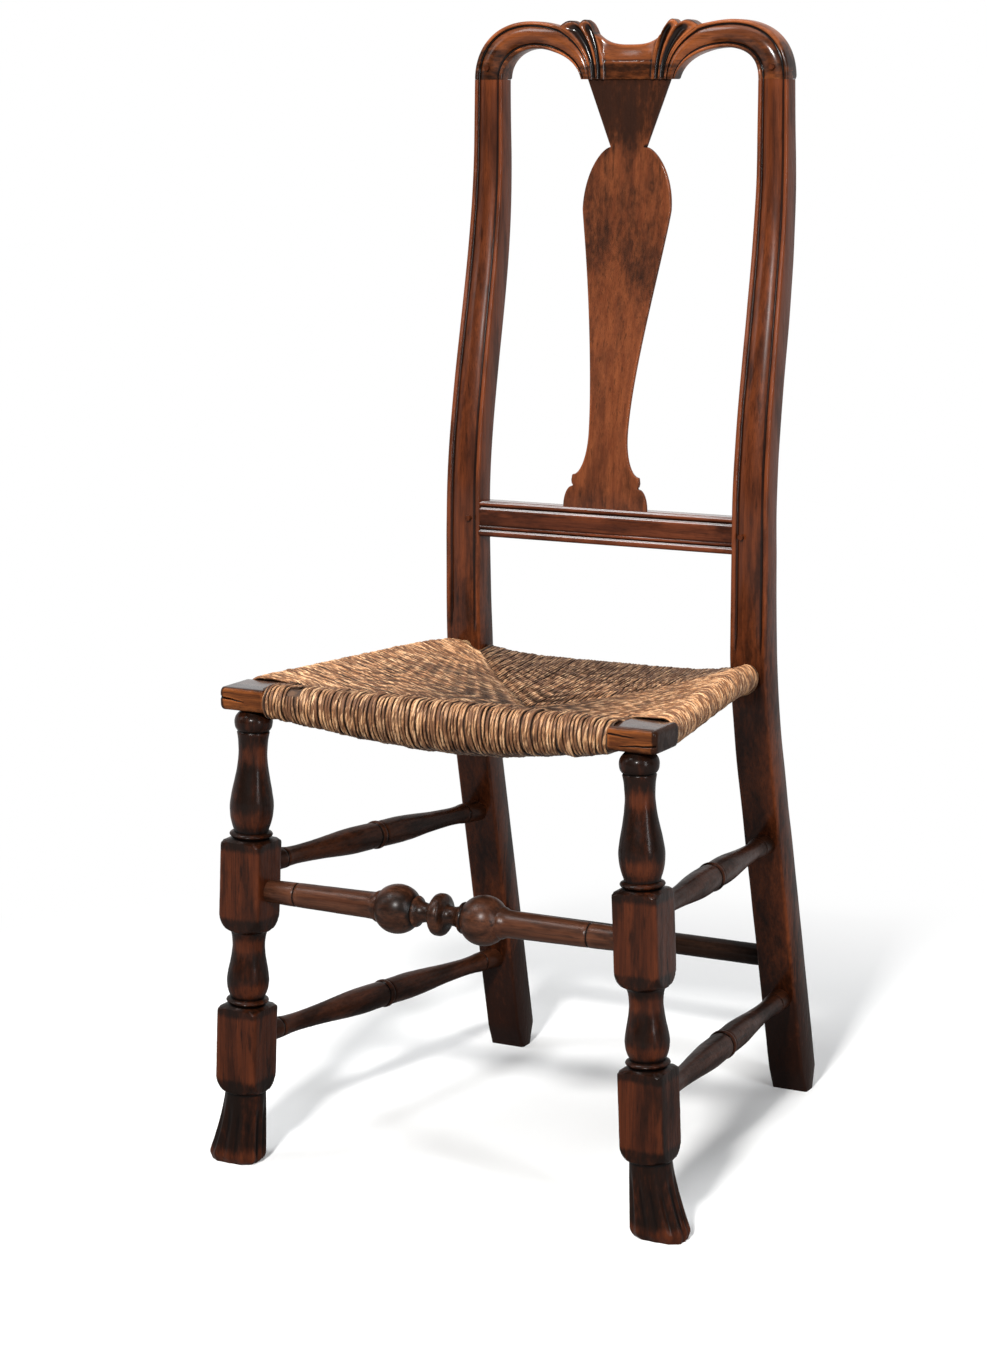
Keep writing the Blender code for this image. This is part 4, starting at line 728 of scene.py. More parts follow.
SIDE_STRETCHERS = (("upper", 0.2812, 0.2627), ("lower", 0.1185, 0.1000))
SIDE_RING = ((0.0, 0.0136), (0.0016, 0.0135), (0.0027, 0.0129), (0.0034, 0.0119), (0.0040, 0.0114),
             (0.0047, 0.0119), (0.0060, 0.0124))
SWELL = 0.0128
WAIST = 0.0086
SIDE_STRETCHER_END = 0.0105
SIDE_TAPER = ((0.08, SWELL * 0.99), (0.16, SWELL), (0.27, blend(WAIST, SWELL, 0.86)),
              (0.38, blend(WAIST, SWELL, 0.60)), (0.49, blend(WAIST, SWELL, 0.31)),
              (0.60, blend(WAIST, SWELL, 0.11)), (0.72, WAIST),
              (0.80, blend(WAIST, SIDE_STRETCHER_END, 0.22)))
side_stretcher_wood = stained_wood("side_stretcher_wood", "Y", (0.0039, 0.0016, 0.0008),
                                   (0.0231, 0.0072, 0.0032), (0.0508, 0.0147, 0.0060),
                                   grime=0.55, wear=0.40, gloss=0.07, seed=82.0)
for word, side in SIDES:
    for level, front_z, rear_z in SIDE_STRETCHERS:
        leg, stile = leg_axis(side, front_z), stile_middle(side, rear_z)
        ahead = (stile - leg).normalized()
        start = leg + ahead * (LEG_SQUARE / 2 / ahead.y)
        stop = stile - ahead * (through(STILE_DEPTHS, rear_z) / 2 / ahead.y)
        reach = (stop - start).length / 2
        half = [*SIDE_RING]
        half += [(blend(SIDE_RING[-1][0], reach, t), radius) for t, radius in SIDE_TAPER]
        half += [*cut_line(reach - 0.024, 0.0099), (reach - 0.008, 0.0104), (reach, SIDE_STRETCHER_END),
                 (reach + STRETCHER_TENON, SIDE_STRETCHER_END)]
        node = f"{word}_{level}_stretcher"
        mesh = turned_mesh(f"{node}_turned", half, start, stop, side * 2.5 + rear_z * 30)
        add_piece(f"{node}_turned", mesh, side_stretcher_wood, node,
                  lambda x, y, z: 0.36)

REAR_STRETCHER_HEIGHT = 0.140
REAR_STRETCHER_RADIUS = 0.0105
rear_stretcher_wood = stained_wood("rear_stretcher_wood", "X", (0.0035, 0.0014, 0.0008),
                                   (0.0112, 0.0050, 0.0029), (0.0224, 0.0098, 0.0056),
                                   grime=0.65, wear=0.35, seed=90.0)
reach = stile_inner(REAR_STRETCHER_HEIGHT)
rear_end = Vector((reach, stile_middle(1, REAR_STRETCHER_HEIGHT).y, REAR_STRETCHER_HEIGHT))
half = [(d, REAR_STRETCHER_RADIUS) for d in (0.0, 0.06, reach, reach + STRETCHER_TENON)]
mesh = turned_mesh("rear_stretcher_turned", half, rear_end * Vector((-1, 1, 1)), rear_end, 9.0)
add_piece("rear_stretcher_turned", mesh, rear_stretcher_wood, "rear_stretcher",
          lambda x, y, z: 0.45)

# STAY RAIL
# A straight rail moulded with a bead along both edges of its front, tenoned between the stiles. The
# foot of the splat stands in a slot in its top edge.

STAY_MOULDING = ((0.0, 2.6), (0.06, 1.2), (0.09, 0.9), (0.115, 1.1), (0.135, 1.7), (0.15, 2.3), (0.16, 2.5),
                 (0.17, 2.5), (0.235, 1.0), (0.255, 0.75), (0.45, 1.3), (0.60, 1.4), (0.68, 1.25),
                 (0.745, 0.35), (0.755, 0.35), (0.775, 0.9), (0.785, 1.6), (0.795, 1.8), (0.80, 1.8),
                 (0.865, 0.3), (0.89, 0.05), (0.92, 0.0), (0.95, 0.2), (0.975, 0.8), (1.0, 2.2))
STAY_MOULDING_SCALE = 0.001
STAY_THICKNESS = 0.018
STAY_EASE = 0.002
STAY_LET_IN = 0.004
STAY_STEPS = 60
stay_front = stile_front((stay_bottom + stay_top) / 2) + 0.0006


def stay_ring(x):
    ring = []
    for u in reversed(fine_steps([u for u, _ in STAY_MOULDING], 0.012)):
        sway = waver(0.00025, x * 24, 3.0, u * 3)
        y = stay_front + STAY_MOULDING_SCALE * through(STAY_MOULDING, u) + sway
        ring.append((x, y, blend(stay_top, stay_bottom, u)))
    back = stay_front + STAY_THICKNESS
    return ring + [(x, y, z) for z, y in eased_back(stay_top, stay_bottom, back, STAY_EASE, 4)]


def stay_soot(x, y, z):
    return 0.24 + 0.3 * smoothstep((abs(x) - 0.10) / 0.03)


STAY = ((0.0131, 0.0034, 0.0016), (0.0535, 0.0137, 0.0060), (0.1037, 0.0273, 0.0109))
stay_wood = stained_wood("stay_wood", "X", *STAY, grime=0.45, wear=0.55, packed=0.80, gloss=0.10, seed=101.0)
waxed_wood = stained_wood("waxed_upward_wood", "X", *STAY, grime=0.45, wear=0.55, packed=0.50, gloss=1.0,
                          seed=101.0)
reach = stile_inner_x + STAY_LET_IN
places = [blend(-reach, reach, i / STAY_STEPS) for i in range(STAY_STEPS + 1)]
mesh = skin("moulded_stay_rail", [stay_ring(x) for x in places])
add_piece("moulded_stay_rail", mesh, stay_wood, "stay_rail", stay_soot)
wax_upward(mesh, waxed_wood, 0.45)

# SPLAT
# A thin board sawn to the outline of a vase, bent to the curve of the stiles and bevelled at the back
# so that it looks thinner. Its ends are let into the stay rail and the crest.

SPLAT_THICKNESS = 0.008
SPLAT_BEVEL = SPLAT_THICKNESS * 0.55
SPLAT_SETBACK = 0.004
SPLAT_EASE = 0.0006
SPLAT_LET_IN = 0.004
SPLAT_TOP_HALF = 0.0428
SPLAT_NECK_HALF = 0.0186
SPLAT_VASE_HALF = 0.0459
SPLAT_WAIST_HALF = 0.0200
SPLAT_EAR_HALF = 0.0345
SPLAT_BASE_HALF = 0.0437


def bezier(p0, p1, p2, p3, steps):
    """Points of a plane cubic curve, both ends included."""
    out = []
    for i in range(steps + 1):
        t = i / steps
        w = ((1 - t) ** 3, 3 * t * (1 - t) ** 2, 3 * t * t * (1 - t), t ** 3)
        out.append(tuple(sum(k * p[axis] for k, p in zip(w, (p0, p1, p2, p3))) for axis in (0, 1)))
    return out


def splat_outline():
    """(height, half width) pairs: base lobes, ears, waist, vase, neck and flared top."""
    notch, ear, waist = stay_top + 0.020, stay_top + 0.031, stay_top + 0.070
    vase, neck = joint_z - 0.120, joint_z - 0.0627
    rows = [(stay_top - SPLAT_LET_IN, SPLAT_BASE_HALF)]
    rows += [(blend(stay_top, notch, sin(turn)), blend(SPLAT_EAR_HALF, SPLAT_BASE_HALF, cos(turn)))
             for turn in quarter(12)]
    rows += [(notch + 0.0012, SPLAT_EAR_HALF - 0.0006), (notch + 0.0022, SPLAT_EAR_HALF + 0.0006),
             (blend(notch, ear, 0.5), SPLAT_EAR_HALF + 0.0012), (ear - 0.0012, SPLAT_EAR_HALF + 0.0006)]
    rows += [(blend(ear, waist, 1 - cos(turn)), blend(SPLAT_EAR_HALF, SPLAT_WAIST_HALF, sin(turn)))
             for turn in quarter(14)]
    body = bezier((SPLAT_WAIST_HALF, waist), (SPLAT_WAIST_HALF, blend(waist, vase, 0.33)),
                  (SPLAT_VASE_HALF, blend(waist, vase, 0.95)), (SPLAT_VASE_HALF, vase), 48)
    rows += [(z, half) for half, z in body[1:]]
    rows += [(blend(vase, neck, sin(turn)), blend(SPLAT_NECK_HALF, SPLAT_VASE_HALF, cos(turn) ** 1.3))
             for turn in quarter(20)[1:]]
    rows += [(blend(neck, joint_z, i / 12), blend(SPLAT_NECK_HALF, SPLAT_TOP_HALF, i / 12))
             for i in range(1, 13)]
    rows.append((joint_z + SPLAT_LET_IN, SPLAT_TOP_HALF))
    return rows


def splat_ring(z, half):
    front = stile_front(z) + SPLAT_SETBACK
    back = front + SPLAT_THICKNESS
    edge = [(half, front + SPLAT_EASE), (half, back - SPLAT_BEVEL), (half - SPLAT_BEVEL * 1.2, back - 0.0004),
            (half - SPLAT_BEVEL * 1.5, back)]
    ring = [(-half + SPLAT_EASE, front), (-half * 0.97, front)]
    ring += [(half * t / 10, front + waver(0.00018, t * 0.4, 6.0, z * 30)) for t in range(-9, 10)]
    ring += [(half * 0.97, front), (half - SPLAT_EASE, front), *edge]
    ring += [(half * t / 10 * 0.7, back) for t in range(9, -10, -2)]
    ring += [(-x, y) for x, y in reversed(edge)]
    return [(x, y, z) for x, y in ring]


def splat_soot(x, y, z):
    """The top is almost black below the crest, the belly of the vase is dark, and the foot a little."""
    top = 0.68 * smoothstep((z - joint_z + 0.085) / 0.05)
    belly = 0.46 * near(z, joint_z - 0.150, 0.085)
    foot = 0.30 * smoothstep((stay_top + 0.05 - z) / 0.05)
    return 0.10 + top + belly + foot


splat_wood = stained_wood("splat_wood", "Z", (0.0123, 0.0049, 0.0028), (0.0857, 0.0226, 0.0088),
                          (0.1437, 0.0409, 0.0149), grime=0.14, wear=0.45, gloss=0.20, seed=117.0)
mesh = skin("vase_splat", [splat_ring(z, half) for z, half in splat_outline()])
add_piece("vase_splat", mesh, splat_wood, "splat", splat_soot, 2)

# CREST RAIL
# The yoke is carved from one thick board. The run moulding of the stiles turns over both arches and comes
# down beside carved leaf fingers to a scooped tablet in the middle. It is pegged onto the stiles.

CREST_RISE = 0.0545
CREST_BAND = 0.0258
CREST_TABLET_LINE = 0.0172
CREST_SWELL = 0.0040
CREST_BACK_EASE = 0.003
CREST_THICKNESSES = (0.0145, 0.0225)
CREST_STEPS = 40
TABLET_HALF = 0.0270
LEAF_FOOT = 0.0325
FINGER_FOOT = 0.0388
BAND_FOOT = 0.0485
TABLET_MIDDLE_HEIGHT = 0.0322
TABLET_TIP = (0.0350, 0.0427)
LEAF_TIP = (0.0515, CREST_RISE - 0.0040)
NOTCH = (0.0716, CREST_RISE - 0.0055)
stile_top_width = STILE_WIDTHS[-1][1]
apex_x = stile_inner_x - 0.0280
crest_end = stile_inner_x + stile_top_width
crest_front = stile_front(joint_z)


def rising(foot, tip, steps):
    """A finger's edge: it leaves its foot straight up and leans outward to its tip."""
    return bezier(foot, (foot[0], blend(foot[1], tip[1], 0.45)),
                  (blend(foot[0], tip[0], 0.42), blend(foot[1], tip[1], 0.78)), tip, steps)


def crest_curves(steps):
    """Edges of the right half, as (distance from the middle, height above the joint) points."""
    base, few = HAIRLINE, steps // 2
    centre = rising((0, base), (0, TABLET_MIDDLE_HEIGHT), steps)
    tablet = rising((TABLET_HALF, base), TABLET_TIP, steps)
    leaf = rising((LEAF_FOOT, base), LEAF_TIP, steps)
    outer = rising((FINGER_FOOT, base), NOTCH, steps)
    outer += bezier(NOTCH, (blend(NOTCH[0], apex_x, 0.32), blend(NOTCH[1], CREST_RISE, 0.64)),
                    (blend(NOTCH[0], apex_x, 0.70), CREST_RISE), (apex_x, CREST_RISE), few)[1:]
    outer += bezier((apex_x, CREST_RISE), (blend(apex_x, crest_end, 0.62), CREST_RISE),
                    (crest_end, CREST_RISE * 0.63), (crest_end, base), steps)[1:]
    under = CREST_RISE - CREST_BAND
    foot, shoulder = (BAND_FOOT, base), (0.0768, under - 0.0035)
    crown = (blend(shoulder[0], apex_x, 0.79), under)
    inner = bezier(foot, (blend(foot[0], shoulder[0], 0.11), blend(base, shoulder[1], 0.47)),
                   (blend(foot[0], shoulder[0], 0.45), blend(base, shoulder[1], 0.81)), shoulder, steps)
    inner += bezier(shoulder, (blend(shoulder[0], crown[0], 0.30), blend(shoulder[1], under, 0.66)),
                    (blend(shoulder[0], crown[0], 0.68), under), crown, few)[1:]
    inner += bezier(crown, (blend(crown[0], stile_inner_x, 0.55), under), (stile_inner_x, under * 0.62),
                    (stile_inner_x, base), steps)[1:]
    return centre, tablet, leaf, outer, inner


def tip_roll(s):
    return 0.0016 * smoothstep((s - 0.95) / 0.05)


def tablet_depth(f, s, z):
    """The scooped middle: sunk inside the ridge beside it, falling back to its top, with a line across."""
    line = 0.0008 * near(z, CREST_TABLET_LINE, 0.0005)
    scoop = 0.0042 * smoothstep((s - 0.35) / 0.60) * (1 - f ** 3)
    sunk = 1 - smoothstep((f - 0.86) / 0.10)
    return (0.0020 + line + scoop) * sunk + tip_roll(s)


def flute_depth(f, s, _):
    """A leaf finger: one deep gouge between two sharp ridges, closing to a rounded knob at its tip."""
    across = min(1.0, max(0.0, (f - 0.06) / 0.88))
    knob = smoothstep((s - 0.80) / 0.16)
    return 0.0044 * (0.45 + 0.55 * s) * sin(pi * across) ** 0.75 * (1 - 0.80 * knob) + tip_roll(s)


def carved_strip(low, high, columns, bulge, depth):
    """Grid of (x, height, depth) between two edges of the carving, with a bulging top."""
    rows = []
    for i, (a, b) in enumerate(zip(low, high)):
        s = i / (len(low) - 1)
        rise = (a[1] - low[0][1]) / (low[-1][1] - low[0][1])
        row = []
        for k in range(columns + 1):
            f = 0.5 - 0.5 * cos(pi * k / columns)
            z = blend(a[1], b[1], f) + bulge(f, rise)
            row.append((blend(a[0], b[0], f), z, depth(f, s, z)))
        rows.append(row)
    return rows


def carved_band(outer, inner, fingers):
    """Grid of the moulded band that runs from the foot of the fingers over the arch to the stile. Beside
    the fingers, for so many rows, its bead is their outer ridge."""
    rows = []
    for i, (a, b) in enumerate(zip(outer, inner)):
        narrow = min(1.0, hypot(a[0] - b[0], a[1] - b[1]) / stile_top_width)
        ridge = BEAD_TOP * (1 - smoothstep((i - fingers) / 6))
        swell = CREST_SWELL * smoothstep((i - fingers) / 16) * smoothstep((len(outer) - 1 - i) / 24)
        row = []
        for u in across_moulding:
            depth = moulding(max(u, ridge)) * (0.25 + 0.75 * narrow) + swell * (2 * u - 0.9) ** 2
            row.append((blend(a[0], b[0], u), blend(a[1], b[1], u), depth))
        rows.append(row)
    return rows


def crest_thickness(x):
    return blend(*CREST_THICKNESSES, smoothstep((abs(x) - FINGER_FOOT) / (apex_x - FINGER_FOOT)))


def carved_slab(name, grids):
    """The carved right half with a smooth back and eased back edges, and its mirror image on the left."""
    index, points, faces = {}, [], []
    for rows in grids:
        for low, high in zip(rows, rows[1:]):
            for k in range(len(low) - 1):
                corner = []
                for point in (low[k], low[k + 1], high[k + 1], high[k]):
                    key = (round(point[0], 6), round(point[1], 6))
                    if key not in index:
                        index[key] = len(points)
                        points.append(point)
                    if index[key] not in corner:
                        corner.append(index[key])
                if len(corner) > 2:
                    faces.append(corner)
    uses = {}
    for face in faces:
        for i, j in zip(face, face[1:] + face[:1]):
            uses.setdefault(frozenset((i, j)), []).append((i, j))
    rim = [pair[0] for pair in uses.values() if len(pair) == 1]
    rim = [(i, j) for i, j in rim if max(points[i][0], points[j][0]) > 1e-6]
    on_rim = {i for pair in rim for i in pair}
    count = len(points)
    vertices = [(x, crest_front + depth, joint_z + z) for x, z, depth in points]
    for i, (x, z, _) in enumerate(points):
        ease = CREST_BACK_EASE if i in on_rim else 0.0
        vertices.append((x, crest_front + crest_thickness(x) - ease, joint_z + z))
    walls = [(j, i, i + count, j + count) for i, j in rim]
    backs = [tuple(i + count for i in reversed(face)) for face in faces]
    half = [tuple(face) for face in faces] + backs + walls
    total = len(vertices)
    vertices += [(-x, y, z) for x, y, z in vertices]
    other = [tuple(i + total for i in reversed(face)) for face in half]
    return mesh_from(name, vertices, half + other)


def crest_soot_and_shading(x, y, z):
    """Black below the line of the tablet and in the gouges, darker at the outer ends and low on the outer
    shoulders, with painted shade on the lower part of each arch band and below it, and painted light along
    its top.
    """
    out, up, depth = abs(x), z - joint_z, y - crest_front
    foot = 0.62 * smoothstep((0.060 - out) / 0.012) * smoothstep((CREST_TABLET_LINE - up) / 0.005)
    tablet = 0.85 * smoothstep((TABLET_HALF + 0.14 * up - out) / 0.004)
    tablet *= smoothstep((up - CREST_TABLET_LINE) / 0.004)
    gouge = smoothstep((out - TABLET_HALF - 0.10 * up) / 0.003)
    gouge *= smoothstep((0.041 + 0.62 * up - out) / 0.003)
    gouge *= 0.95 * smoothstep((depth - 0.0009) / 0.0014) * (1 - smoothstep((depth - 0.008) / 0.002))
    # Painted shade darkens the lower part of each arch band and the wood below it, and painted light
    # brightens the top of the band, as if lit from above.
    arch = smoothstep((out - 0.070) / 0.02)
    over_band = up - CREST_RISE + CREST_BAND
    painted_shade_under_arch = 0.42 * arch * (1 - smoothstep(over_band / 0.015))
    painted_light_over_arch = 0.35 * arch * smoothstep((over_band - 0.008) / 0.010)
    shoulder = 0.06 * smoothstep((0.030 - up) / 0.03) * smoothstep((out - 0.10) / 0.02)
    edge = 0.28 * smoothstep((out - crest_end + 0.012) / 0.010)
    return 0.10 + max(foot, gouge) - tablet + painted_shade_under_arch - painted_light_over_arch + shoulder + edge


crest_wood = stained_wood("crest_wood", "X", (0.0049, 0.0016, 0.0006), (0.0724, 0.0183, 0.0057),
                          (0.1629, 0.0450, 0.0125), grime=0.30, wear=0.85, gloss=0.32, seed=133.0)
centre, tablet, leaf, outer, inner = crest_curves(CREST_STEPS)
fingers = len(leaf)
grids = [carved_strip(centre, tablet, 30, lambda f, rise: 0.0105 * (f ** 3 - f) * rise, tablet_depth),
         carved_strip(tablet, leaf, 24, lambda f, rise: 0.0332 * f * (1 - f) * rise ** 3, flute_depth),
         carved_strip(leaf, outer[:fingers], 24, lambda f, rise: 0.0192 * f * (1 - f) * rise ** 3,
                      flute_depth),
         carved_band(outer, inner, fingers)]
mesh = carved_slab("carved_crest", grids)
add_piece("carved_crest", mesh, crest_wood, "crest_rail", crest_soot_and_shading, 4)

# PEGS
# Small wooden pins driven through the crest and stay rail joints. The faces drawn here lie behind those
# of the solids at these places, so the dark ends of the pins stand out by 3 to 6 mm.

peg_wood = stained_wood("peg_end_grain", "Y", (0.0084, 0.0023, 0.0009), (0.0400, 0.0098, 0.0035),
                        (0.0800, 0.0195, 0.0062), grime=0.5, wear=0.2, seed=150.0)
stain_solids(peg_wood, "crest_left_peg", "crest_right_peg", "stay_left_peg", "stay_right_peg")

# RUSH SEAT
# Rush leaves twisted into a cord are wound over the four rails from the corners inward, so that each
# panel's turns run square to its rail and meet the next panel's along the diagonals of the dished seat.

RUSH_PITCH = 0.0034
RUSH_RADIUS = 0.00185
RUSH_DISH = 0.033
RUSH_FALL = {"front": 2.4, "rear": 1.6, "side": 1.6}
RUSH_CROWN = {"front": 0.86, "rear": 0.94, "side": 0.95}
RUSH_MIDDLE_THICKNESS = 0.026
RUSH_TWIST = 2 * pi / 0.050
RUSH_BELLY = 0.0046
RUSH_GULLY = 0.0024
ROLL_FRONT, ROLL_SIDE, ROLL_REAR = 0.0145, 0.0148, 0.0152
SIDE_RAIL_LEVEL = 0.43625
SIDE_RAIL_FRONT = Vector((0.2005, -0.1952, 0))
SIDE_RAIL_REAR = Vector((0.1490, 0.1044, 0))
REAR_RAIL_DROP = 0.031
PATH_STEPS = 20
CORD_GAPS = (-0.134, -0.112, -0.086, -0.0615, 0.0895)
CORD_SIDES = 12
CORD_PLY_DEPTH = 0.22
END_TUCK = 0.0016
TEAR = (-0.1465, -0.1300)
TEAR_DEPTH = (0.0045, 0.0150)
PANEL_OUT = {"front": Vector((0, -1, 0)), "left": Vector((-1, 0, 0)), "right": Vector((1, 0, 0)),
             "rear": Vector((0, 1, 0))}
SEAM_CORNERS = {"front": (block_inner, seat_high.y), "rear": (stile_inner_x, stile_y)}
rush_low, rush_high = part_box("rush_seat")
seat_middle_y = (rush_low.y + rush_high.y) / 2
rng = np.random.default_rng(7)


def seat_half(y):
    """Half width of the rush at y: the seat narrows to the rear."""
    t = (y - SIDE_RAIL_FRONT.y) / (SIDE_RAIL_REAR.y - SIDE_RAIL_FRONT.y)
    return blend(SIDE_RAIL_FRONT.x, SIDE_RAIL_REAR.x, t) + ROLL_SIDE


def rush_heights(x, y, shrink=0.0):
    """Top and underside of the rush at a place, drawn in by shrink all round."""
    front_y, rear_y = rush_low.y + shrink, rush_high.y - shrink
    half = seat_half(y) - shrink
    w = min(1.0, max(-1.0, (y - front_y) / (rear_y - front_y) * 2 - 1))
    u = min(1.0, max(-1.0, x / half))
    a, b = abs(u), abs(w)
    at_side = a ** 6 / (a ** 6 + b ** 6) if a + b > 0 else 0.5
    belly = RUSH_BELLY * (1 - u * u) ** 2
    end_word = "front" if w < 0 else "rear"
    end_level, end_roll = seat_height - REAR_RAIL_DROP, ROLL_REAR
    if w < 0:
        end_level, end_roll = block_z + 0.0010 - belly, ROLL_FRONT + belly
    level = blend(end_level, SIDE_RAIL_LEVEL, at_side)
    thick = blend(end_roll, ROLL_SIDE, at_side) - shrink
    middle = max(a, b)
    floor = SIDE_RAIL_LEVEL + ROLL_SIDE - RUSH_DISH - shrink
    fall = blend(RUSH_FALL[end_word], RUSH_FALL["side"], at_side)
    crown = blend(RUSH_CROWN[end_word], RUSH_CROWN["side"], at_side)
    top = blend(floor, level + thick, min(1.0, middle / crown) ** fall)
    corner_x, corner_y = SEAM_CORNERS[end_word]
    off_seam = abs(x) / corner_x - (y - seat_middle_y) / (corner_y - seat_middle_y)
    gully = RUSH_GULLY * near(off_seam, 0, 0.07) * 6.75 * middle * (1 - middle) ** 2
    if w < 0:
        behind_block = near(y, corner_y, 0.025) * smoothstep((abs(x) - corner_x + 0.02) / 0.02)
        top = blend(top, level + thick, 0.8 * behind_block)
    sag = floor - RUSH_MIDDLE_THICKNESS + 2 * shrink
    under = blend(level - thick, sag, (1 - a * a) ** 2 * (1 - b ** 4))
    roll = min(1.0, (1 - middle) * half / (ROLL_SIDE - shrink))
    round_off = sqrt(max(0.0, 1 - (1 - roll) ** 2))
    return blend(level, top - gully, round_off), blend(level, under, round_off)


def panel_path(panel, place):
    """Points of one turn of cord, from the diagonal over the top, round its rail, and back underneath."""
    out = []
    for i in range(PATH_STEPS + 1):
        edge = 1.05 * (i / PATH_STEPS) ** 2.2
        if panel in SEAM_CORNERS:
            corner_x, corner_y = SEAM_CORNERS[panel]
            x = place
            seam_y = blend(seat_middle_y, corner_y, min(1.0, abs(x) / corner_x))
            y = blend(rush_low.y if panel == "front" else rush_high.y, seam_y, edge)
        else:
            corner_x, corner_y = SEAM_CORNERS["front" if place < seat_middle_y else "rear"]
            y = place
            seam_x = corner_x * min(1.0, (y - seat_middle_y) / (corner_y - seat_middle_y))
            x = PANEL_OUT[panel].x * blend(seat_half(y), seam_x, edge)
        top, under = rush_heights(x, y)
        out.append((Vector((x, y, top)), Vector((x, y, under))))
    return [a for a, _ in reversed(out)] + [b for _, b in out[1:]]


def draw_in(path, depth, panel):
    """Moves a path in by depth, square to itself, and gives the way out of the seat at each point."""
    over = PANEL_OUT[panel]
    out = []
    for i, point in enumerate(path):
        ahead = (path[min(i + 1, len(path) - 1)] - path[max(i - 1, 0)]).normalized()
        away = Vector((0, 0, ahead.dot(over))) - over * ahead.z
        out.append((point - away.normalized() * depth, away.normalized()))
    return out


def panel_places(panel):
    """Where each turn of a panel lies along its rail, with a few wide gaps where the cord has parted."""
    low, high = seat_high.y - 0.0015, stile_y - 0.002
    if panel in SEAM_CORNERS:
        high = block_inner + 0.0004 if panel == "front" else stile_inner_x - 0.002
        low = -high
    count = round((high - low) / RUSH_PITCH)
    places = [blend(low + RUSH_PITCH / 2, high - RUSH_PITCH / 2, i / (count - 1)) for i in range(count)]
    places = [p + rng.normal(0, 0.00035) for p in places]
    if panel == "front":
        for gap in CORD_GAPS:
            places = [p + 0.0011 * (1 if p > gap else -1) * exp(-abs(p - gap) / 0.006) for p in places]
    return places


def rush_grime(panel, place):
    """How much darker a spot is, from 0 to 1: along the rear rail, over the front roll, towards the bottom of
    the rolls and underneath, and where knees rub beside the corner blocks."""
    if panel == "rear":
        return 0.20 + 0.60 * smoothstep((place.y - 0.02) / 0.09)
    below = 0.6 * smoothstep((seat_height - 0.012 - place.z) / 0.014)
    if panel == "front":
        return max(0.46, below)
    knees = 0.6 * near(place.y, seat_high.y, 0.024) * smoothstep((seat_height - place.z) / 0.008)
    return max(below, knees)


def torn(panel, place, point):
    """True where the top of the front roll has broken open beside the left block."""
    if panel != "front" or not TEAR[0] < place < TEAR[1] or point.z <= block_z:
        return False
    frayed = waver(0.0016, place * 300, 8.0, 0)
    return TEAR_DEPTH[0] < point.y - rush_low.y + frayed < TEAR_DEPTH[1]


def cord_skeleton(panel):
    """Polylines of a panel's turns, with the thickness, twist, shade, run and grime of the cord and the way
    out of the seat at each point."""
    points, edges, outward = [], [], []
    facts = {"thick": [], "twist": [], "shade": [], "run": [], "grime": []}
    places = panel_places(panel)
    along = Vector((1, 0, 0)) if panel in SEAM_CORNERS else Vector((0, 1, 0))
    for place in places:
        # The open side of a panel's first and last turns counts as facing out, so the painted shade between
        # turns leaves it.
        bare_side = along * ((place == places[-1]) - (place == places[0]))
        path = draw_in(panel_path(panel, place), RUSH_RADIUS, panel)
        shade, phase, girth = rng.random(), rng.random() * 2 * pi, rng.normal(1.0, 0.11)
        wander = rng.random() * 50
        lean, lift = 0.0, 0.0
        if panel == "front":
            lean = waver(0.0075, place * 34, 2.0, 0) + rng.normal(0, 0.0009)
            lift = waver(0.0014, place * 70, 5.0, 0) + rng.normal(0, 0.00045)
        run = 0.0
        first = len(points)
        for i, (point, out) in enumerate(path):
            outward.extend((out + bare_side).normalized())
            if i:
                run += (point - path[i - 1][0]).length
            away = waver(0.0005, run * 28, wander, 0)
            away += waver(0.0003, run * 90, wander, 3) + lean * (i - PATH_STEPS) / PATH_STEPS
            moved = point + out * lift + along * away
            moved.z += waver(0.00025, run * 40, wander, 7)
            points.append(moved)
            swell = 1 + waver(0.09, run * 45, wander, 11)
            facts["thick"].append(RUSH_RADIUS * girth * swell)
            facts["twist"].append(phase + run * RUSH_TWIST)
            facts["shade"].append(shade)
            facts["grime"].append(rush_grime(panel, moved))
            facts["run"].append(run + shade * 3)
        points[first].z -= END_TUCK
        points[-1].z += END_TUCK
        edges += [(k, k + 1) for k in range(first, len(points) - 1) if not torn(panel, place, points[k])]
    mesh = bpy.data.meshes.new(f"{panel}_cord_lines")
    mesh.from_pydata(points, edges, [])
    for name, values in facts.items():
        mesh.attributes.new(name, "FLOAT", "POINT").data.foreach_set("value", values)
    mesh.attributes.new("outward", "FLOAT_VECTOR", "POINT").data.foreach_set("vector", outward)
    return mesh


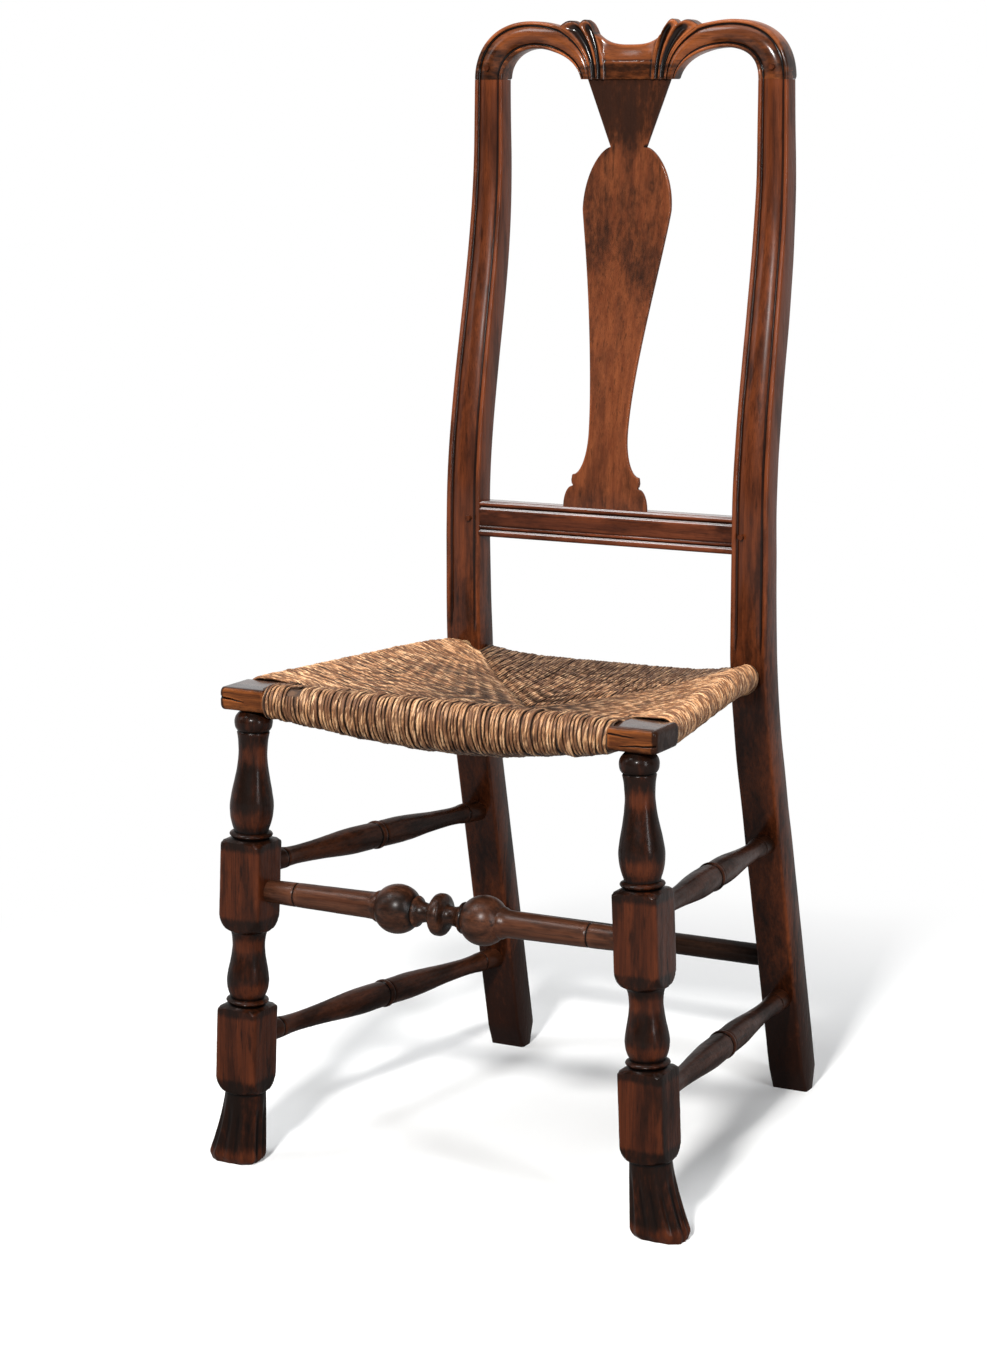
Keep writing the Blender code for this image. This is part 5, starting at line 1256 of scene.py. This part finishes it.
def cord_tree(material):
    """Geometry nodes that give each line the two-ply section of the twisted cord, and store how far each
    point faces out of the seat, for the painted shade between turns.
    """
    tree = bpy.data.node_groups.new("rush_cord", "GeometryNodeTree")
    tree.is_modifier = True
    tree.interface.new_socket("Geometry", in_out="INPUT", socket_type="NodeSocketGeometry")
    sides = tree.interface.new_socket("Section Points", in_out="INPUT", socket_type="NodeSocketInt")
    ply = tree.interface.new_socket("Ply Depth", in_out="INPUT", socket_type="NodeSocketFloat")
    tree.interface.new_socket("Geometry", in_out="OUTPUT", socket_type="NodeSocketGeometry")
    given = add(tree, "NodeGroupInput")

    def named(word, kind="FLOAT"):
        node = add(tree, "GeometryNodeInputNamedAttribute", {"Name": word}, data_type=kind)
        return node.outputs["Attribute"]

    def store(shape, word, value, kind):
        node = add(tree, "GeometryNodeStoreNamedAttribute", {"Geometry": shape, "Name": word},
                   data_type=kind, domain="POINT")
        tree.links.new(value, node.inputs["Value"])
        return node.outputs[0]

    lines = add(tree, "GeometryNodeMeshToCurve", {"Mesh": given.outputs["Geometry"]})
    twisted = add(tree, "GeometryNodeSetCurveTilt", {"Curve": lines.outputs[0], "Tilt": named("twist")})
    section = add(tree, "GeometryNodeCurvePrimitiveCircle", {"Resolution": given.outputs["Section Points"],
                                                             "Radius": 1.0})
    spot = add(tree, "GeometryNodeInputPosition").outputs[0]
    parts = add(tree, "ShaderNodeSeparateXYZ", {0: spot})
    lobe = sums(tree, "MULTIPLY", sums(tree, "POWER", parts.outputs["X"], 2.0), given.outputs["Ply Depth"])
    size = sums(tree, "SUBTRACT", 1.06, lobe)
    spread = add(tree, "ShaderNodeVectorMath", {0: spot, "Scale": size}, operation="SCALE")
    around = store(section.outputs[0], "around", spot, "FLOAT_VECTOR")
    shaped = add(tree, "GeometryNodeSetPosition", {"Geometry": around, "Position": spread.outputs[0]})
    cord = add(tree, "GeometryNodeCurveToMesh", {"Curve": twisted.outputs[0], "Scale": named("thick"),
                                                 "Profile Curve": shaped.outputs[0], "Fill Caps": True})
    # How far the surface faces out of the seat, stored as facing: where it faces in toward the next turn, the
    # material paints shade.
    normal = add(tree, "GeometryNodeInputNormal")
    facing = add(tree, "ShaderNodeVectorMath", {0: normal.outputs[0], 1: named("outward", "FLOAT_VECTOR")},
                 operation="DOT_PRODUCT")
    open_side = store(cord.outputs[0], "facing", facing.outputs["Value"], "FLOAT")
    smooth = add(tree, "GeometryNodeSetShadeSmooth", {"Geometry": open_side})
    real = add(tree, "GeometryNodeRealizeInstances", {"Geometry": smooth.outputs[0]})
    coated = add(tree, "GeometryNodeSetMaterial", {"Geometry": real.outputs[0], "Material": material})
    add(tree, "NodeGroupOutput", {0: coated.outputs[0]})
    return tree, {sides.identifier: CORD_SIDES, ply.identifier: CORD_PLY_DEPTH}


def rush_material():
    """Old rush leaf: straw and brown streaks along each turn, dark handled patches, and painted shade, near
    black, between turns.
    """
    material, tree, shader = new_material("old_rush")
    run = stored(tree, "run")
    parts = add(tree, "ShaderNodeSeparateXYZ", {0: stored(tree, "around", "Vector")})

    def wound(across, along):
        """Noise that winds with the leaf round the cord."""
        leaf = {word: sums(tree, "MULTIPLY", parts.outputs[word], across) for word in "XY"}
        leaf["Z"] = sums(tree, "MULTIPLY", run, along)
        return cloudy(tree, add(tree, "ShaderNodeCombineXYZ", leaf).outputs[0], 1.0, 3.0)

    flecks = wound(0.5, 75.0)
    lines = wound(3.0, 50.0)
    patch = cloudy(tree, on_object(tree), 40.0, 5.0, 0.62)
    dirty = sums(tree, "MULTIPLY", stored(tree, "grime"), grade(tree, lines, 0.66, 0.40, 0.55, 1.0))
    straw = mix(tree, grade(tree, lines, 0.38, 0.62), (0.430, 0.178, 0.064, 1), (1.000, 0.640, 0.360, 1))
    color = layered(tree, straw, (
        (grade(tree, stored(tree, "shade"), 0.0, 1.0, 0.0, 0.55), (0.400, 0.160, 0.055, 1)),
        (grade(tree, flecks, 0.43, 0.55, 0.0, 0.90), (0.135, 0.048, 0.017, 1)),
        (grade(tree, patch, 0.50, 0.66, 0.0, 0.62), (0.110, 0.047, 0.023, 1)),
        (dirty, (0.040, 0.017, 0.007, 1)),
        # Painted shade, near black, where a turn faces in toward its neighbours.
        (grade(tree, stored(tree, "facing"), 0.95, 0.36, 0.0, 0.97), (0.016, 0.006, 0.002, 1))))
    rough = grade(tree, flecks, 0.35, 0.65, 0.38, 0.58)
    bump = add(tree, "ShaderNodeBump", {"Height": lines, "Strength": 0.55, "Distance": 0.0006})
    plug(tree, shader, {"Base Color": color, "Roughness": rough, "Normal": bump.outputs[0],
                        "Specular IOR Level": 0.26})
    return material


cords, cord_values = cord_tree(rush_material())
for panel in PANEL_OUT:
    lines = put(f"{panel}_lines", cord_skeleton(panel))
    wind = lines.modifiers.new("wind", "NODES")
    wind.node_group = cords
    for key, value in cord_values.items():
        wind[key] = value
    solid = lines.evaluated_get(bpy.context.evaluated_depsgraph_get())
    mesh = bpy.data.meshes.new_from_object(solid)
    mesh.name = f"{panel}_rush"
    bpy.data.objects.remove(lines)
    rush = put(f"{panel}_rush", mesh)
    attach(rush, "root")
    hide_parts("rush_seat")

CORE_SHRINK = 0.0030
CORE_STEPS = 48


def core_mesh(name):
    """The stuffing under the cord: a pillow a little smaller than the rush, clear of blocks and stiles."""
    steps = [-cos(i / CORE_STEPS * pi) for i in range(CORE_STEPS + 1)]
    points = []
    for w in steps:
        y = blend(rush_low.y + CORE_SHRINK, rush_high.y - CORE_SHRINK, (w + 1) / 2)
        for u in steps:
            x = u * (seat_half(y) - CORE_SHRINK)
            points.append((x, y, *rush_heights(x, y, CORE_SHRINK)))
    count = len(steps)
    vertices = [(x, y, top) for x, y, top, _ in points] + [(x, y, under) for x, y, _, under in points]
    faces = []
    for r in range(count - 1):
        for c in range(count - 1):
            corners = [r * count + c, r * count + c + 1, (r + 1) * count + c + 1, (r + 1) * count + c]
            middle_x = sum(points[k][0] for k in corners) / 4
            middle_y = sum(points[k][1] for k in corners) / 4
            in_block = abs(middle_x) > block_inner + 0.001 and middle_y < seat_high.y - 0.001
            in_stile = abs(middle_x) > stile_inner_x - 0.002 and middle_y > stile_y - 0.002
            if not (in_block or in_stile):
                faces.append(tuple(corners))
                faces.append(tuple(k + count * count for k in reversed(corners)))
    return mesh_from(name, vertices, faces)


# The stuffing is coloured far darker than the cord, as painted shade that shows through the gaps between
# turns and the tear.
core_rush, tree, shader = new_material("rush_core_painted_shade")
clumps = cloudy(tree, on_object(tree), 180.0, 4.0, 0.5)
color = mix(tree, grade(tree, clumps, 0.35, 0.65), (0.024, 0.011, 0.005, 1), (0.090, 0.042, 0.019, 1))
plug(tree, shader, {"Base Color": color, "Roughness": 0.8})
add_piece("rush_core", core_mesh("rush_core"), core_rush, "rush_seat")

# STUDIO
# A white paper floor and white surround. A soft key lamp stands in front, a little to the right, a tall
# strip on the right, a weak lamp on the left, and two hang above. The camera is where it was for the photo.

FLOOR_HALF = 9
FLOOR_LIT_FROM = (0.45, 1.0)
FLOOR_NEAR_SHARE = 0.14
FLOOR_BOUNCE = 0.30
ROOM_SIDE = (0.45, -0.89, 0.0)
ROOM_STRENGTH = 0.05
AIM = Vector((0, 0, 0.5))
WHITE = (1, 1, 1, 1)
scene = bpy.context.scene
scene.view_settings.view_transform = "Standard"


def mirrored(tree, light):
    """1 for rays that a surface has mirrored or let through, and 0 for others."""
    return sums(tree, "MAXIMUM", light.outputs["Is Glossy Ray"], light.outputs["Is Transmission Ray"])


paper, tree, _ = new_material("white_paper")
tree.nodes.clear()
light = add(tree, "ShaderNodeLightPath")
seen = light.outputs["Is Camera Ray"]
away = add(tree, "ShaderNodeVectorMath", {0: on_object(tree)}, operation="LENGTH").outputs["Value"]
share = sums(tree, "MULTIPLY", sums(tree, "MAXIMUM", seen, mirrored(tree, light)),
             grade(tree, away, *FLOOR_LIT_FROM, FLOOR_NEAR_SHARE, 1.0))
matte = add(tree, "ShaderNodeBsdfDiffuse", {"Color": mix(tree, seen, (*[FLOOR_BOUNCE] * 3, 1), WHITE)})
glow = add(tree, "ShaderNodeEmission", {"Color": WHITE, "Strength": 1.0})
both = add(tree, "ShaderNodeMixShader", {0: share, 1: matte.outputs[0], 2: glow.outputs[0]})
add(tree, "ShaderNodeOutputMaterial", {"Surface": both.outputs[0]})
floor_mesh = bpy.data.meshes.new("paper_floor")
floor_corners = [(x * FLOOR_HALF, y * FLOOR_HALF, 0) for x, y in ((-1, -1), (1, -1), (1, 1), (-1, 1))]
floor_mesh.from_pydata(floor_corners, [], [(0, 1, 2, 3)])
floor_mesh.materials.append(paper)
floor = put("paper_floor", floor_mesh)

world = bpy.data.worlds.new("white_surround")
world.use_nodes = True
scene.world = world
tree = world.node_tree
tree.nodes.clear()
light = add(tree, "ShaderNodeLightPath")
room = add(tree, "ShaderNodeBackground", {"Color": (0.92, 0.96, 1.0, 1), "Strength": ROOM_STRENGTH})
white = add(tree, "ShaderNodeBackground", {"Color": WHITE, "Strength": 1.0})
facing = add(tree, "ShaderNodeVectorMath", {0: add(tree, "ShaderNodeTexCoord").outputs["Generated"],
                                            1: ROOM_SIDE}, operation="DOT_PRODUCT").outputs["Value"]
shown = sums(tree, "MULTIPLY", mirrored(tree, light), grade(tree, facing, 0.35, -0.25))
shown = sums(tree, "MAXIMUM", light.outputs["Is Camera Ray"], shown)
both = add(tree, "ShaderNodeMixShader", {0: shown, 1: room.outputs[0], 2: white.outputs[0]})
add(tree, "ShaderNodeOutputWorld", {"Surface": both.outputs[0]})

LAMPS = (("soft_key", (0.65, -3.2, 2.25), (0.36, 0.30), 185, (1.0, 0.99, 0.97)),
         ("right_strip", (2.5, -1.3, 1.3), (0.28, 1.9), 44, (0.96, 0.98, 1.0)),
         ("soft_left", (-2.5, -1.6, 1.9), (0.9, 0.9), 11, (1.0, 1.0, 1.0)),
         ("soft_top", (0.1, -0.2, 3.0), (1.8, 1.8), 34, (1.0, 1.0, 1.0)),
         ("high_left", (-1.25, -1.2, 2.85), (0.9, 0.9), 40, (0.97, 0.99, 1.0)))
for name, place, (wide, high), power, hue in LAMPS:
    lamp = bpy.data.lights.new(name, "AREA")
    lamp.shape = "RECTANGLE"
    lamp.size = wide
    lamp.size_y = high
    lamp.energy = power
    lamp.color = hue
    holder = put(name, lamp)
    holder.location = place
    holder.rotation_euler = (AIM - Vector(place)).to_track_quat("-Z", "Y").to_euler()

lens = bpy.data.cameras.new("camera")
lens.lens = 83.41
lens.sensor_width = 36.0
camera = put("camera", lens)
camera.location = (1.280, -2.5387, 0.968)
camera.rotation_euler = (radians(79.47), 0, radians(27.84))
scene.camera = camera
